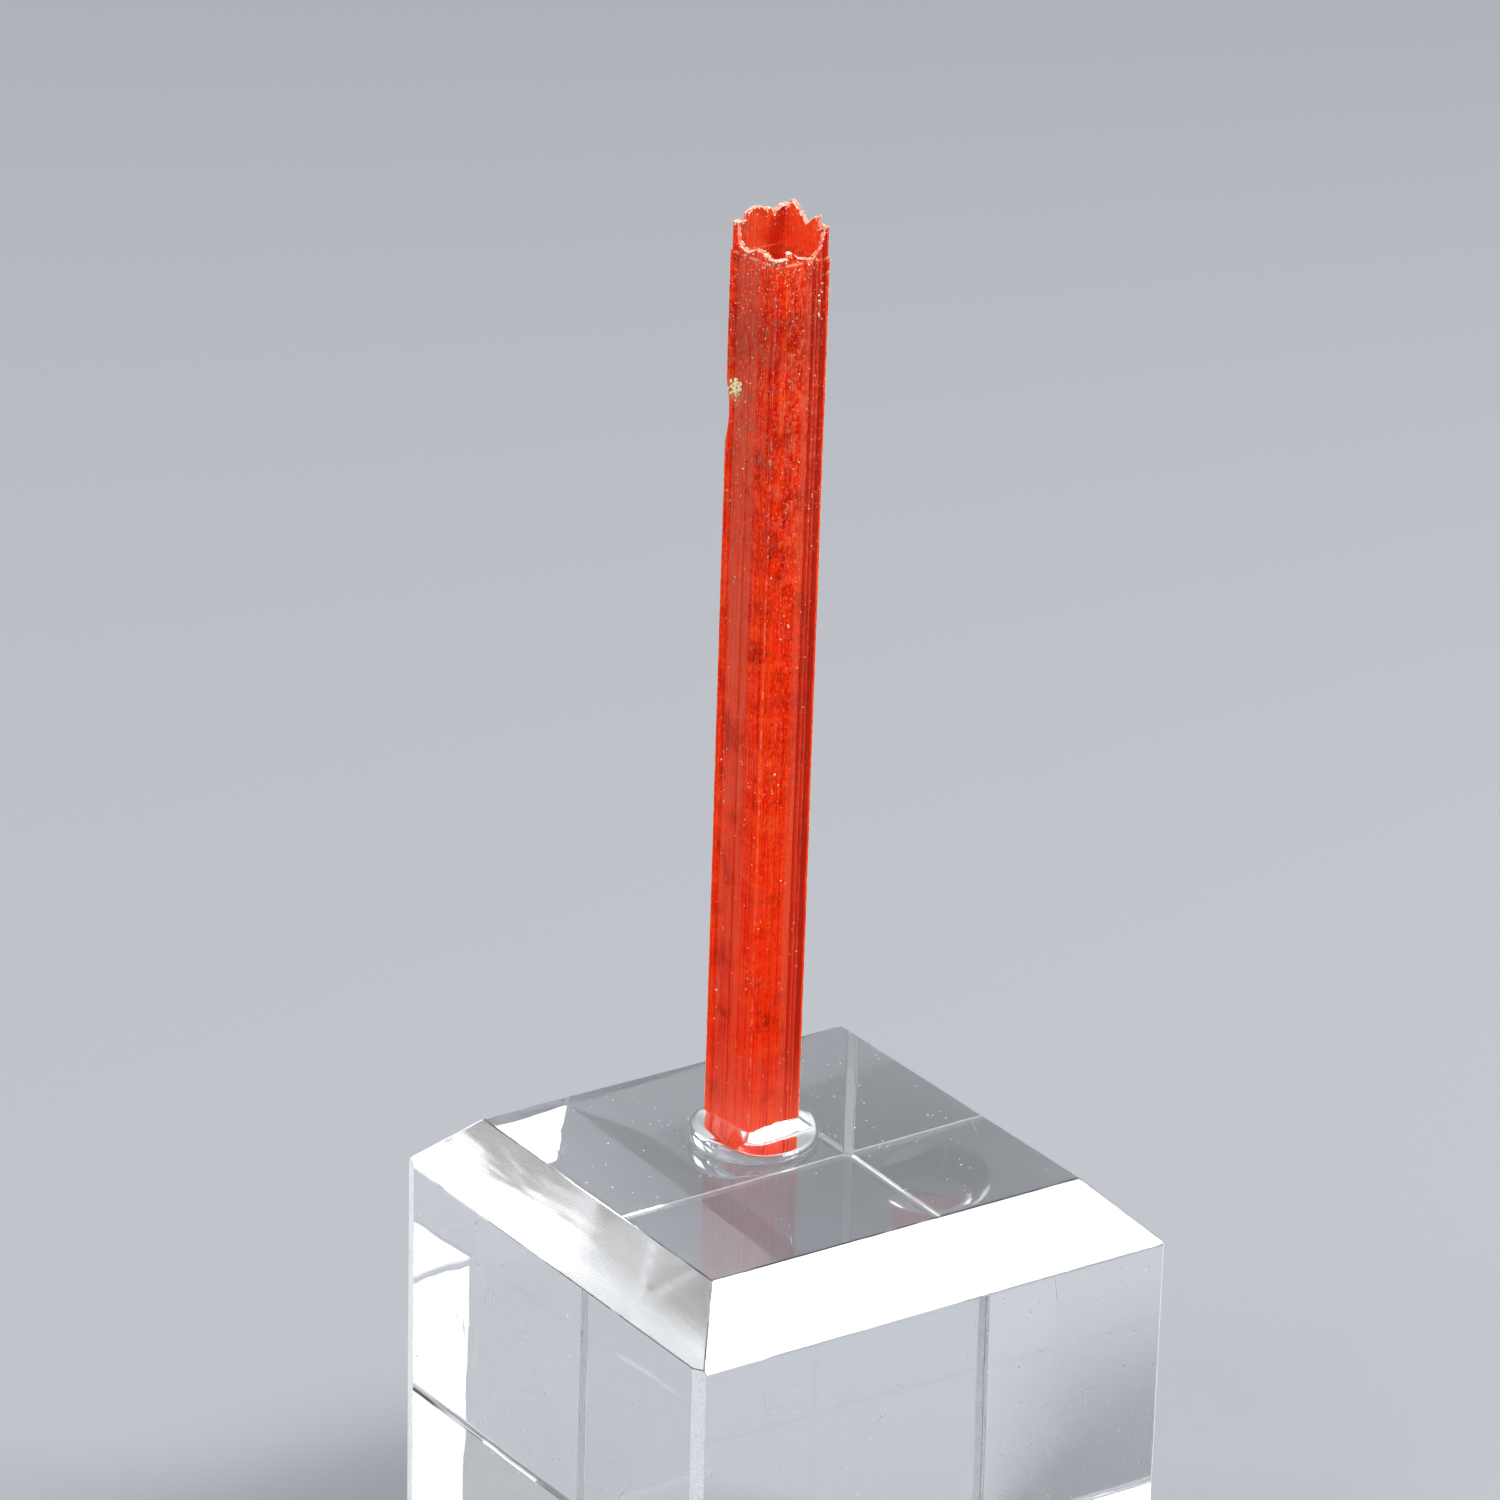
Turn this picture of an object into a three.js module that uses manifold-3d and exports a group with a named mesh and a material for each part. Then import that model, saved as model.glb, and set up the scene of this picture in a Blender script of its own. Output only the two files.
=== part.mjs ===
// A single crocoite crystal on its clear acrylic display block, in millimetres, +Z up.
// The origin is the centre of the block's underside. The block's narrow-bevelled face
// looks along -X and its widest visible bevel along -Y, the two faces nearest the viewer.

import * as THREE from "three";
import { mergeVertices } from "three/addons/utils/BufferGeometryUtils.js";
import Module from "manifold-3d";

const wasm = await Module();
wasm.setup();

// Block
const BLOCK_SIDE = 25.4;
const BLOCK_HEIGHT = 24.2;
const BEVEL_DROP = 2.83;
const BEVEL_WIDTH = { left: 2.35, front: 3.0, right: 2.9, back: 3.1 };
const FOOT_BREAK = 0.2;

// Scraped corner edges, anticlockwise from the front left one: the strip that each takes
// off the face along X and off the face along Y
const CORNER_SCRAPE = [
  { x: -1, y: -1, alongX: 0.16, alongY: 0.9 },
  { x: 1, y: -1, alongX: 0.15, alongY: 0.15 },
  { x: 1, y: 1, alongX: 0.3, alongY: 0.3 },
  { x: -1, y: 1, alongX: 0.22, alongY: 0.8 },
];

// Adhesive bead
const BEAD_CENTRE = { x: -0.77, y: 1.37 };
const BEAD_RADIUS = 3.03;
const BEAD_HEIGHT = 1.0;
const BEAD_UNDERCUT = 0.28;
const BEAD_UNDERCUT_RISE = 0.08;
const BEAD_BELLY_RISE = 0.42;
const BEAD_SHOULDER = 0.75;
const BEAD_SHOULDER_START = 0.3;
const BEAD_SHOULDER_RISE = 0.9;
const BEAD_FLOOR = 0.15;
const BEAD_CLEARANCE = 0.1;
const BEAD_SIDES = 48;
const BEAD_CURVE_STEPS = 5;

// Crystal prism: the two widths of a near-square section with a monoclinic angle
const PRISM_ALONG = 2.92;
const PRISM_ACROSS = 3.17;
const PRISM_ANGLE = 93.2;
const PRISM_CENTRE = { x: -0.567, y: 1.885 };
const PRISM_TURN = 2.91;
const LEAN_FORWARD = 0.39;
const LEAN_SIDEWAYS = 0.18;
const CRYSTAL_FOOT = 0.25;

// Crystal tip, heights above the block's top
const GROWTH_STEP = 42.93;
const TIP_TOP = 45.6;
const TIP_SETBACK = 0.06;
const TIP_ROOT = 0.5;
const WALL = 0.5;
const CUT_REACH = 0.5;
const HOLLOW_STEPS = [
  { inset: 0.48, floor: 42.0 },
  { inset: 0.76, floor: 41.1 },
  { inset: 1.02, floor: 40.2 },
];

// The torn edge of the hollow tip on each of the four walls: distance along the wall, height
const RIM = {
  front: [
    [-0.4, 43.2], [0.24, 43.25], [0.55, 43.5], [0.84, 43.47], [1.1, 43.2], [1.42, 43.09],
    [1.93, 42.99], [2.2, 43.23], [2.42, 43.6], [2.56, 44.1], [2.66, 44.35], [3.4, 44.3],
  ],
  right: [
    [-0.4, 44.3], [0.14, 44.34], [0.4, 44.7], [0.64, 44.68], [0.92, 44.52], [1.15, 44.33],
    [1.36, 44.13], [1.66, 44.43], [2.02, 44.76], [2.38, 44.99], [2.72, 44.97], [3.6, 44.72],
  ],
  back: [
    [-0.4, 44.74], [0.27, 44.6], [0.55, 44.43], [0.7, 44.22], [0.82, 44.57], [1.26, 44.65],
    [1.48, 44.77], [1.76, 44.74], [2.04, 44.62], [2.34, 44.5], [2.6, 44.46], [3.4, 44.26],
  ],
  left: [
    [-0.4, 44.28], [0.3, 44.26], [0.36, 43.42], [0.71, 43.18], [1.13, 43.11], [1.53, 43.36],
    [2.09, 43.38], [2.52, 43.15], [2.9, 43.22], [3.6, 43.2],
  ],
};

// Lengthwise growth lamellae fused on each face
const LAMELLAE_PER_FACE = { front: 12, right: 9, back: 9, left: 12 };
const LAMELLA_WIDTH = [0.12, 0.42];
const LAMELLA_LENGTH = [6, 26];
const LAMELLA_RELIEF = [0.02, 0.055];
const LAMELLA_ROOT = 0.12;
const LAMELLA_TAPER = 0.02;
const LAMELLA_MARGIN = 0.05;
const LAMELLA_LOWEST = 1.35;

// Lamellae that end in ledges that can be told apart: start, width, low end, high end, relief
const LEDGES = {
  front: [[0.16, 0.5, 19.9, 41.5, 0.05], [2.52, 0.34, 3.0, 40.2, 0.06], [1.0, 0.42, 0.3, 14.6, 0.04]],
  right: [[0.5, 0.6, 8.0, 37.0, 0.05]],
  back: [[1.6, 0.7, 2.0, 31.0, 0.05]],
  left: [[1.8, 1.1, 19.9, 38.8, 0.05], [0.06, 0.4, 0.3, 33.9, 0.05], [1.05, 0.5, 2.4, 30.0, 0.045]],
};

// Striation grooves cut the full length of each face
const GROOVES_PER_FACE = 7;
const GROOVE_WIDTH = [0.05, 0.16];
const GROOVE_DEPTH = [0.025, 0.07];
const GROOVE_FLOOR = [0.3, 0.7];
const GROOVE_MARGIN = 0.04;

// Small grains: a cluster on the left face, and the crumbs along the torn rim
const GRAIN_CLUSTER = { along: 0.62, height: 36.65, spread: 0.34, count: 11, size: [0.11, 0.22] };
const GRAIN_STRETCH = [0.7, 1.3];
const CRUMB_SIZE = [0.07, 0.15];
const CRUMB_SPACING = 0.18;
const CRUMB_SINK = 0.15;
const CRUMB_PLACE_IN_WALL = [0.15, 0.4];
const BITE = { height: 35.4, halfLength: 1.45, radius: 0.55, depth: 0.14 };

// Seeds of the repeatable unevenness
const SEED = { body: 5, tip: 29, lamellae: 71, grains: 17, crumbs: 113 };

const FACES = ["front", "right", "back", "left"];

const radians = THREE.MathUtils.degToRad;

// A repeatable source of numbers from 0 to 1
function numbersFrom(seed) {
  let state = seed >>> 0;
  return () => {
    state = (state + 0x6d2b79f5) >>> 0;
    let mixed = Math.imul(state ^ (state >>> 15), state | 1);
    mixed ^= mixed + Math.imul(mixed ^ (mixed >>> 7), mixed | 61);
    return ((mixed ^ (mixed >>> 14)) >>> 0) / 4294967296;
  };
}

function between(next, [low, high]) {
  return low + (high - low) * next();
}

function toSolid(geometry, matrix = new THREE.Matrix4()) {
  const placed = geometry.clone().applyMatrix4(matrix);
  placed.deleteAttribute("normal");
  placed.deleteAttribute("uv");
  const merged = mergeVertices(placed, 1e-5);
  return new wasm.Manifold(new wasm.Mesh({
    numProp: 3,
    vertProperties: merged.attributes.position.array,
    triVerts: merged.index.array,
  }));
}

function toGeometry(solid) {
  const mesh = solid.getMesh();
  const geometry = new THREE.BufferGeometry();
  geometry.setAttribute("position", new THREE.BufferAttribute(mesh.vertProperties, 3));
  geometry.setIndex(new THREE.BufferAttribute(mesh.triVerts, 1));
  geometry.computeVertexNormals();
  return geometry;
}

// An upright prism on a closed outline of [x, y] points
function uprightPrism(outline, low, high) {
  const shape = new THREE.Shape(outline.map(([x, y]) => new THREE.Vector2(x, y)));
  const prism = new THREE.ExtrudeGeometry(shape, { depth: high - low, bevelEnabled: false });
  return prism.translate(0, 0, low);
}

// The block

function blockOutline() {
  const half = BLOCK_SIDE / 2;
  return CORNER_SCRAPE.flatMap(({ x, y, alongX, alongY }) => {
    const onSide = [x * half, y * (half - alongY)];
    const onFront = [x * (half - alongX), y * half];
    return x * y > 0 ? [onSide, onFront] : [onFront, onSide];
  });
}

// A wedge that takes a sloping strip off one edge, made for the -Y side and turned round Z
function edgeWedge(width, drop, turn, edgeHeight, upward) {
  const reach = CUT_REACH;
  const slope = drop / width;
  const wedge = new THREE.Shape([
    new THREE.Vector2(-reach, -drop - slope * reach),
    new THREE.Vector2(width + reach / slope, reach),
    new THREE.Vector2(-reach, reach),
  ]);
  const length = BLOCK_SIDE + 4 * reach;
  const bar = new THREE.ExtrudeGeometry(wedge, { depth: length, bevelEnabled: false });
  bar.translate(0, 0, -length / 2);
  const inward = new THREE.Vector3(0, 1, 0);
  const up = new THREE.Vector3(0, 0, upward);
  const place = new THREE.Matrix4().makeBasis(inward, up, new THREE.Vector3().crossVectors(inward, up));
  place.setPosition(0, -BLOCK_SIDE / 2, edgeHeight);
  place.premultiply(new THREE.Matrix4().makeRotationZ(turn));
  return toSolid(bar, place);
}

function makeBlock() {
  let block = toSolid(uprightPrism(blockOutline(), 0, BLOCK_HEIGHT));
  FACES.forEach((side, index) => {
    const turn = (index * Math.PI) / 2;
    block = block.subtract(edgeWedge(BEVEL_WIDTH[side], BEVEL_DROP, turn, BLOCK_HEIGHT, 1));
    block = block.subtract(edgeWedge(FOOT_BREAK, FOOT_BREAK, turn, 0, -1));
  });
  return toGeometry(block);
}

// The crystal's own frame: x along the front face, z along the prism, origin on the
// axis of the section at the height of the block's top

function prismCorners(inset = 0) {
  const angle = radians(PRISM_ANGLE);
  const along = new THREE.Vector2(1, 0);
  const across = new THREE.Vector2(Math.cos(angle), Math.sin(angle));
  const halfAlong = PRISM_ALONG / 2 - inset / Math.sin(angle);
  const halfAcross = PRISM_ACROSS / 2 - inset / Math.sin(angle);
  const corner = (a, b) =>
    along.clone().multiplyScalar(a * halfAlong).addScaledVector(across, b * halfAcross);
  return [corner(-1, -1), corner(1, -1), corner(1, 1), corner(-1, 1)];
}

// Each face as a start corner, a direction along it and an outward normal
function prismFace(name, inset = 0) {
  const corners = prismCorners(inset);
  const index = FACES.indexOf(name);
  const start = corners[index];
  const end = corners[(index + 1) % corners.length];
  const along = end.clone().sub(start);
  const length = along.length();
  along.normalize();
  return { start, along, length, outward: new THREE.Vector2(along.y, -along.x) };
}

function onFace(face, distance, relief) {
  const point = face.start.clone().addScaledVector(face.along, distance);
  return point.addScaledVector(face.outward, relief);
}

// The height of one wall's torn edge at a distance along that wall
function rimHeight(name, distance) {
  const points = RIM[name];
  const next = points.findIndex(([along]) => along > distance);
  const [fromDistance, fromHeight] = points[Math.max(next - 1, 0)];
  const [toDistance, toHeight] = points[next];
  const share = (distance - fromDistance) / (toDistance - fromDistance);
  return THREE.MathUtils.lerp(fromHeight, toHeight, share);
}

function groovedOutline(inset, seed) {
  const next = numbersFrom(seed);
  return FACES.flatMap((name) => {
    const face = prismFace(name, inset);
    const points = [onFace(face, 0, 0)];
    const pitch = face.length / GROOVES_PER_FACE;
    const [floorStart, floorEnd] = GROOVE_FLOOR;
    for (let groove = 0; groove < GROOVES_PER_FACE; groove += 1) {
      const width = between(next, GROOVE_WIDTH);
      const depth = between(next, GROOVE_DEPTH);
      const from = pitch * groove + between(next, [GROOVE_MARGIN, pitch - width - GROOVE_MARGIN]);
      points.push(onFace(face, from, 0), onFace(face, from + width * floorStart, -depth));
      points.push(onFace(face, from + width * floorEnd, -depth), onFace(face, from + width, 0));
    }
    return points.map((point) => [point.x, point.y]);
  });
}

function lamella(face, from, width, low, high, relief) {
  const outline = [
    onFace(face, from, -LAMELLA_ROOT),
    onFace(face, from + width, -LAMELLA_ROOT),
    onFace(face, from + width - LAMELLA_TAPER, relief),
    onFace(face, from + LAMELLA_TAPER, relief),
  ];
  const winding = outline.map((point) => [point.x, point.y]).reverse();
  return toSolid(uprightPrism(winding, low, high));
}

function addLamellae(body) {
  const next = numbersFrom(SEED.lamellae);
  let grown = body;
  for (const name of FACES) {
    const face = prismFace(name);
    for (const [from, width, low, high, relief] of LEDGES[name]) {
      grown = grown.add(lamella(face, from, width, low, high, relief));
    }
    for (let count = 0; count < LAMELLAE_PER_FACE[name]; count += 1) {
      const width = between(next, LAMELLA_WIDTH);
      const from = between(next, [LAMELLA_MARGIN, face.length - width - LAMELLA_MARGIN]);
      const length = between(next, LAMELLA_LENGTH);
      const low = between(next, [LAMELLA_LOWEST, GROWTH_STEP - length - LAMELLA_MARGIN]);
      const relief = between(next, LAMELLA_RELIEF);
      grown = grown.add(lamella(face, from, width, low, low + length, relief));
    }
  }
  return grown;
}

function tipPrism() {
  return toSolid(uprightPrism(groovedOutline(TIP_SETBACK, SEED.tip), GROWTH_STEP - TIP_ROOT, TIP_TOP));
}

function hollow() {
  const steps = HOLLOW_STEPS.map(({ inset, floor }, index) => {
    const corners = prismCorners(inset).map((corner) => [corner.x, corner.y]);
    const ceiling = (index === 0 ? TIP_TOP : HOLLOW_STEPS[index - 1].floor) + CUT_REACH;
    return toSolid(uprightPrism(corners, floor, ceiling));
  });
  return steps.reduce((whole, step) => whole.add(step));
}

// All that stands above one wall's torn edge, as a slab through that wall
function rimCutter(name) {
  const face = prismFace(name);
  const above = new THREE.Shape();
  RIM[name].forEach(([distance, height], index) => {
    if (index === 0) above.moveTo(distance, height);
    else above.lineTo(distance, height);
  });
  const first = RIM[name][0][0];
  const last = RIM[name][RIM[name].length - 1][0];
  above.lineTo(last, TIP_TOP + CUT_REACH);
  above.lineTo(first, TIP_TOP + CUT_REACH);
  const depth = WALL + TIP_SETBACK;
  const slab = new THREE.ExtrudeGeometry(above, { depth: depth + CUT_REACH, bevelEnabled: false });
  const along = new THREE.Vector3(face.along.x, face.along.y, 0);
  const up = new THREE.Vector3(0, 0, 1);
  const outward = new THREE.Vector3().crossVectors(along, up);
  const place = new THREE.Matrix4().makeBasis(along, up, outward);
  const origin = onFace(face, 0, -depth);
  place.setPosition(origin.x, origin.y, 0);
  return toSolid(slab, place);
}

// A small angular grain
function grain(x, y, z, size, next) {
  const turn = new THREE.Euler(...[0, 0, 0].map(() => next() * 2 * Math.PI));
  const stretch = new THREE.Vector3(...[0, 0, 0].map(() => size * between(next, GRAIN_STRETCH)));
  const place = new THREE.Matrix4().compose(
    new THREE.Vector3(x, y, z),
    new THREE.Quaternion().setFromEuler(turn),
    stretch,
  );
  return toSolid(new THREE.OctahedronGeometry(1, 0), place);
}

function addRimCrumbs(body) {
  const next = numbersFrom(SEED.crumbs);
  let crumbed = body;
  for (const name of FACES) {
    const face = prismFace(name, TIP_SETBACK);
    const from = WALL + CRUMB_SIZE[1];
    const to = face.length - from;
    for (let distance = from; distance < to; distance += CRUMB_SPACING) {
      const along = distance + between(next, [-CRUMB_SPACING / 2, CRUMB_SPACING / 2]);
      const size = between(next, CRUMB_SIZE);
      const point = onFace(face, along, -between(next, CRUMB_PLACE_IN_WALL));
      const lowest = Math.min(rimHeight(name, along - size), rimHeight(name, along + size));
      const height = lowest - size * CRUMB_SINK;
      crumbed = crumbed.add(grain(point.x, point.y, height, size, next));
    }
  }
  return crumbed;
}

function addGrainCluster(body) {
  const next = numbersFrom(SEED.grains);
  const face = prismFace("left");
  const spread = [-GRAIN_CLUSTER.spread, GRAIN_CLUSTER.spread];
  let clustered = body;
  for (let count = 0; count < GRAIN_CLUSTER.count; count += 1) {
    const along = GRAIN_CLUSTER.along + between(next, spread);
    const height = GRAIN_CLUSTER.height + between(next, spread);
    const point = onFace(face, along, 0);
    const size = between(next, GRAIN_CLUSTER.size);
    clustered = clustered.add(grain(point.x, point.y, height, size, next));
  }
  return clustered;
}

// The shallow worn hollow in the left edge, just under the grains
function edgeBite() {
  const corner = prismCorners()[3];
  const out = corner.clone().normalize();
  const centre = corner.clone().addScaledVector(out, BITE.radius - BITE.depth);
  const place = new THREE.Matrix4().makeScale(BITE.radius, BITE.radius, BITE.halfLength);
  place.setPosition(centre.x, centre.y, BITE.height);
  return toSolid(new THREE.SphereGeometry(1, 10, 8), place);
}

function makeCrystal() {
  let crystal = toSolid(uprightPrism(groovedOutline(0, SEED.body), CRYSTAL_FOOT, GROWTH_STEP));
  crystal = addLamellae(crystal).add(tipPrism()).subtract(hollow());
  for (const name of FACES) {
    crystal = crystal.subtract(rimCutter(name));
  }
  crystal = addRimCrumbs(crystal).subtract(edgeBite());
  crystal = addGrainCluster(crystal);
  return toGeometry(crystal);
}

// Where the crystal stands, shared by the crystal and its socket in the adhesive
function crystalPlace() {
  const turn = new THREE.Euler(radians(LEAN_FORWARD), radians(LEAN_SIDEWAYS), radians(PRISM_TURN));
  const position = new THREE.Vector3(PRISM_CENTRE.x, PRISM_CENTRE.y, BLOCK_HEIGHT);
  const size = new THREE.Vector3(1, 1, 1);
  return new THREE.Matrix4().compose(position, new THREE.Quaternion().setFromEuler(turn), size);
}

// The bead: a flattened round drop with a socket in the crystal's outline
function makeBead() {
  const profile = new THREE.Path();
  profile.moveTo(0, 0);
  profile.lineTo(BEAD_RADIUS - BEAD_UNDERCUT, 0);
  profile.quadraticCurveTo(BEAD_RADIUS, BEAD_UNDERCUT_RISE, BEAD_RADIUS, BEAD_BELLY_RISE);
  profile.bezierCurveTo(
    BEAD_RADIUS, BEAD_SHOULDER_RISE,
    BEAD_RADIUS - BEAD_SHOULDER_START, BEAD_HEIGHT,
    BEAD_RADIUS - BEAD_SHOULDER, BEAD_HEIGHT,
  );
  profile.lineTo(0, BEAD_HEIGHT);
  const drop = new THREE.LatheGeometry(profile.getPoints(BEAD_CURVE_STEPS), BEAD_SIDES);
  const stand = new THREE.Matrix4().makeRotationX(Math.PI / 2);
  stand.setPosition(BEAD_CENTRE.x, BEAD_CENTRE.y, BLOCK_HEIGHT);
  const socket = prismCorners(-BEAD_CLEARANCE - LAMELLA_RELIEF[1]).map(({ x, y }) => [x, y]);
  const cutter = uprightPrism(socket, BEAD_FLOOR, BEAD_HEIGHT + CUT_REACH);
  return toGeometry(toSolid(drop, stand).subtract(toSolid(cutter, crystalPlace())));
}

function material(color, roughness, opacity) {
  return new THREE.MeshStandardMaterial({
    color,
    roughness,
    metalness: 0,
    transparent: opacity < 1,
    opacity,
  });
}

const group = new THREE.Group();

const block = new THREE.Mesh(makeBlock(), material(0xe9eef2, 0.03, 0.4));
block.name = "acrylic_block";
group.add(block);

const bead = new THREE.Mesh(makeBead(), material(0xf2f5f7, 0.06, 0.5));
bead.name = "adhesive_bead";
group.add(bead);

const crystal = new THREE.Mesh(makeCrystal(), material(0xe2340f, 0.25, 1));
crystal.name = "crystal";
crystal.applyMatrix4(crystalPlace());
group.add(crystal);

export default group;
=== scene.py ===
# %% [markdown]
# # A crocoite crystal on a clear display block
# The real object is a mineral specimen: one slender orange-red crystal, standing in a drop of
# clear adhesive on a bevelled block of clear acrylic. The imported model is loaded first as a
# fixed frame. Block, drop and crystal are made again below in finer detail, each to stand in
# its solid's place, and loose grains and dust are added to them.

# %% The frame
import math
import random
from functools import partial

import bmesh
import bpy
from mathutils import Euler, Matrix, Vector


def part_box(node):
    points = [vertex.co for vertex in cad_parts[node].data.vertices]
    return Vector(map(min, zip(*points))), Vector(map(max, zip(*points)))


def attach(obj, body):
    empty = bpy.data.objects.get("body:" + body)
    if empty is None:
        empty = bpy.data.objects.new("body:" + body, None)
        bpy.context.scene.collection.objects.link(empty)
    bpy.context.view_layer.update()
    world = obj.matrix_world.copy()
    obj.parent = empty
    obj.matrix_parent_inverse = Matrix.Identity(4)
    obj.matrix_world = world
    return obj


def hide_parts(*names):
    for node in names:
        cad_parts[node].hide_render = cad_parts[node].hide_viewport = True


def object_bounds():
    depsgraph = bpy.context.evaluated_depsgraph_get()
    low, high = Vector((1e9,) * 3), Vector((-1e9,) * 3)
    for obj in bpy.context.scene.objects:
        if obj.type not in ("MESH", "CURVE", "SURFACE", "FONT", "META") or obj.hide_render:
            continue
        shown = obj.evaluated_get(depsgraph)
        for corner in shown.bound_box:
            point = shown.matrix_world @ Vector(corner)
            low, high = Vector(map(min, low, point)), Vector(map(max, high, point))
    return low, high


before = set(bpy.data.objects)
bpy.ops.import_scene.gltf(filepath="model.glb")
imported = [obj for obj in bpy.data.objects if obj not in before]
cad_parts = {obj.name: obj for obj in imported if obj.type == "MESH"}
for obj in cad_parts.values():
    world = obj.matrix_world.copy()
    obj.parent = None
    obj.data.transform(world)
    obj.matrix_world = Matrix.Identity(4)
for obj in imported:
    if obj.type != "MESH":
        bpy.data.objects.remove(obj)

cad_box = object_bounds()
MM = 0.001
block_low, block_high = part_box("acrylic_block")
BLOCK_TOP = block_high.z
print("block top at", round(BLOCK_TOP / MM, 2), "mm, nodes", sorted(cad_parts))

# %% [markdown]
# The camera stands where the photo was taken from: above the block's front corner, far away
# behind a long lens, so that upright edges stay almost parallel. A direction, a distance and a
# small roll say that more plainly than a list of coordinates would.

# %% Camera
AIM = Vector((-0.815, 2.391, 43.313)) * MM
CAMERA_AZIMUTH = math.radians(-34.264)
CAMERA_ELEVATION = math.radians(22.445)
CAMERA_ROLL = math.radians(1.496)
CAMERA_DISTANCE = 314 * MM
CAMERA_LENS = 166.37
CAMERA_CLIP = (10 * MM, 20)

back = Vector((
    math.sin(CAMERA_AZIMUTH) * math.cos(CAMERA_ELEVATION),
    -math.cos(CAMERA_AZIMUTH) * math.cos(CAMERA_ELEVATION),
    math.sin(CAMERA_ELEVATION),
))
bpy.ops.object.camera_add(location=AIM + back * CAMERA_DISTANCE)
camera = bpy.context.object
camera.name = "camera"
camera.rotation_mode = "QUATERNION"
level = back.to_track_quat("Z", "Y")
camera.rotation_quaternion = level @ Euler((0, 0, CAMERA_ROLL)).to_quaternion()
camera.data.lens = CAMERA_LENS
camera.data.clip_start, camera.data.clip_end = CAMERA_CLIP
bpy.context.scene.camera = camera
print("camera at", [round(c / MM, 2) for c in camera.location], "mm")

# %% [markdown]
# Modelling by hand means choosing a part of the mesh and then moving, extruding or cutting it.
# These helpers do the choosing: they open a mesh with nothing selected, and select what passes
# a test on its place.

# %% Helpers for modelling
def only(piece):
    if bpy.context.object and bpy.context.object.mode != "OBJECT":
        bpy.ops.object.mode_set(mode="OBJECT")
    bpy.ops.object.select_all(action="DESELECT")
    piece.select_set(True)
    bpy.context.view_layer.objects.active = piece
    return piece


def edit(piece):
    only(piece)
    bpy.ops.object.mode_set(mode="EDIT")
    bpy.ops.mesh.select_all(action="DESELECT")


def done():
    bpy.ops.object.mode_set(mode="OBJECT")


def pick(piece, kind, test):
    """Selects the verts, edges or faces of an open mesh that pass the test, and nothing else."""
    mode = {"verts": "VERT", "edges": "EDGE", "faces": "FACE"}[kind]
    bpy.ops.mesh.select_mode(type=mode)
    bpy.ops.mesh.select_all(action="DESELECT")
    cage = bmesh.from_edit_mesh(piece.data)
    found = [part for part in getattr(cage, kind) if test(part)]
    for part in found:
        part.select_set(True)
    cage.select_flush_mode()
    bmesh.update_edit_mesh(piece.data)
    return len(found)


def extrude_up(height):
    bpy.ops.mesh.extrude_region_move(TRANSFORM_OT_translate={"value": (0, 0, height)})


def face_outward():
    bpy.ops.mesh.select_all(action="SELECT")
    bpy.ops.mesh.normals_make_consistent(inside=False)


def settle(piece):
    """Puts the piece's place into its mesh, so that its object is at the origin, unturned."""
    only(piece)
    bpy.ops.object.transform_apply(location=True, rotation=True, scale=True)
    return piece


def finish_modifier(piece, modifier):
    only(piece)
    bpy.ops.object.modifier_apply(modifier=modifier.name)


def triangles(piece):
    piece.data.calc_loop_triangles()
    return len(piece.data.loop_triangles)


# %% [markdown]
# The block was sawn from sheet, its top edges were milled to a bevel and its upright corners
# were scraped by hand. So a cube is cut in the same order: a bisect takes each bevel off and
# fills the cut, a second bisect scrapes each corner, and last every edge gets the tiny rounding
# that polishing leaves, because a perfectly sharp edge never catches the light.

# %% Block, shape
BEVEL_DROP = 2.83 * MM
BEVEL_WIDTHS = {"left": 2.35 * MM, "front": 3.0 * MM, "right": 2.9 * MM, "back": 3.1 * MM}
OUTWARD = {"left": (-1, 0), "front": (0, -1), "right": (1, 0), "back": (0, 1)}
SCRAPES = {(-1, -1): (0.16, 0.9), (1, -1): (0.15, 0.15), (1, 1): (0.3, 0.3), (-1, 1): (0.22, 0.8)}
FOOT_BREAK = 0.2 * MM
POLISHED_EDGE = 0.045 * MM
HAIR = 1e-7
HALF = block_high.x


def cut_off(piece, point, outward):
    bpy.ops.mesh.select_all(action="SELECT")
    bpy.ops.mesh.bisect(
        plane_co=point, plane_no=outward, use_fill=True, clear_outer=True, threshold=HAIR
    )


bpy.ops.object.select_all(action="DESELECT")
size = block_high - block_low
bpy.ops.mesh.primitive_cube_add(size=1, location=(block_low + block_high) / 2, scale=size)
block = bpy.context.object
block.name = "clear_block"
settle(block)
edit(block)
for side, (x, y) in OUTWARD.items():
    width = BEVEL_WIDTHS[side]
    edge = Vector((x * HALF, y * HALF, BLOCK_TOP - BEVEL_DROP))
    cut_off(block, edge, Vector((x * BEVEL_DROP, y * BEVEL_DROP, width)).normalized())
for side, (x, y) in OUTWARD.items():
    edge = Vector((x * HALF, y * HALF, FOOT_BREAK))
    cut_off(block, edge, Vector((x, y, -1)).normalized())
for (x, y), (along_x, along_y) in SCRAPES.items():
    on_front = Vector((x * (HALF - along_x * MM), y * HALF, 0))
    outward = Vector((x * along_y, y * along_x, 0)).normalized()
    cut_off(block, on_front, outward)
done()
print("block has", len(block.data.polygons), "faces before its edges are rounded")

# %% [markdown]
# The scraped corners are matt where the rest is polished. They get the second material slot
# now, while each is still one face that its diagonal direction gives away.

# %% Block, scraped corners and rounded edges
SLANTED = 0.1


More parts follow.
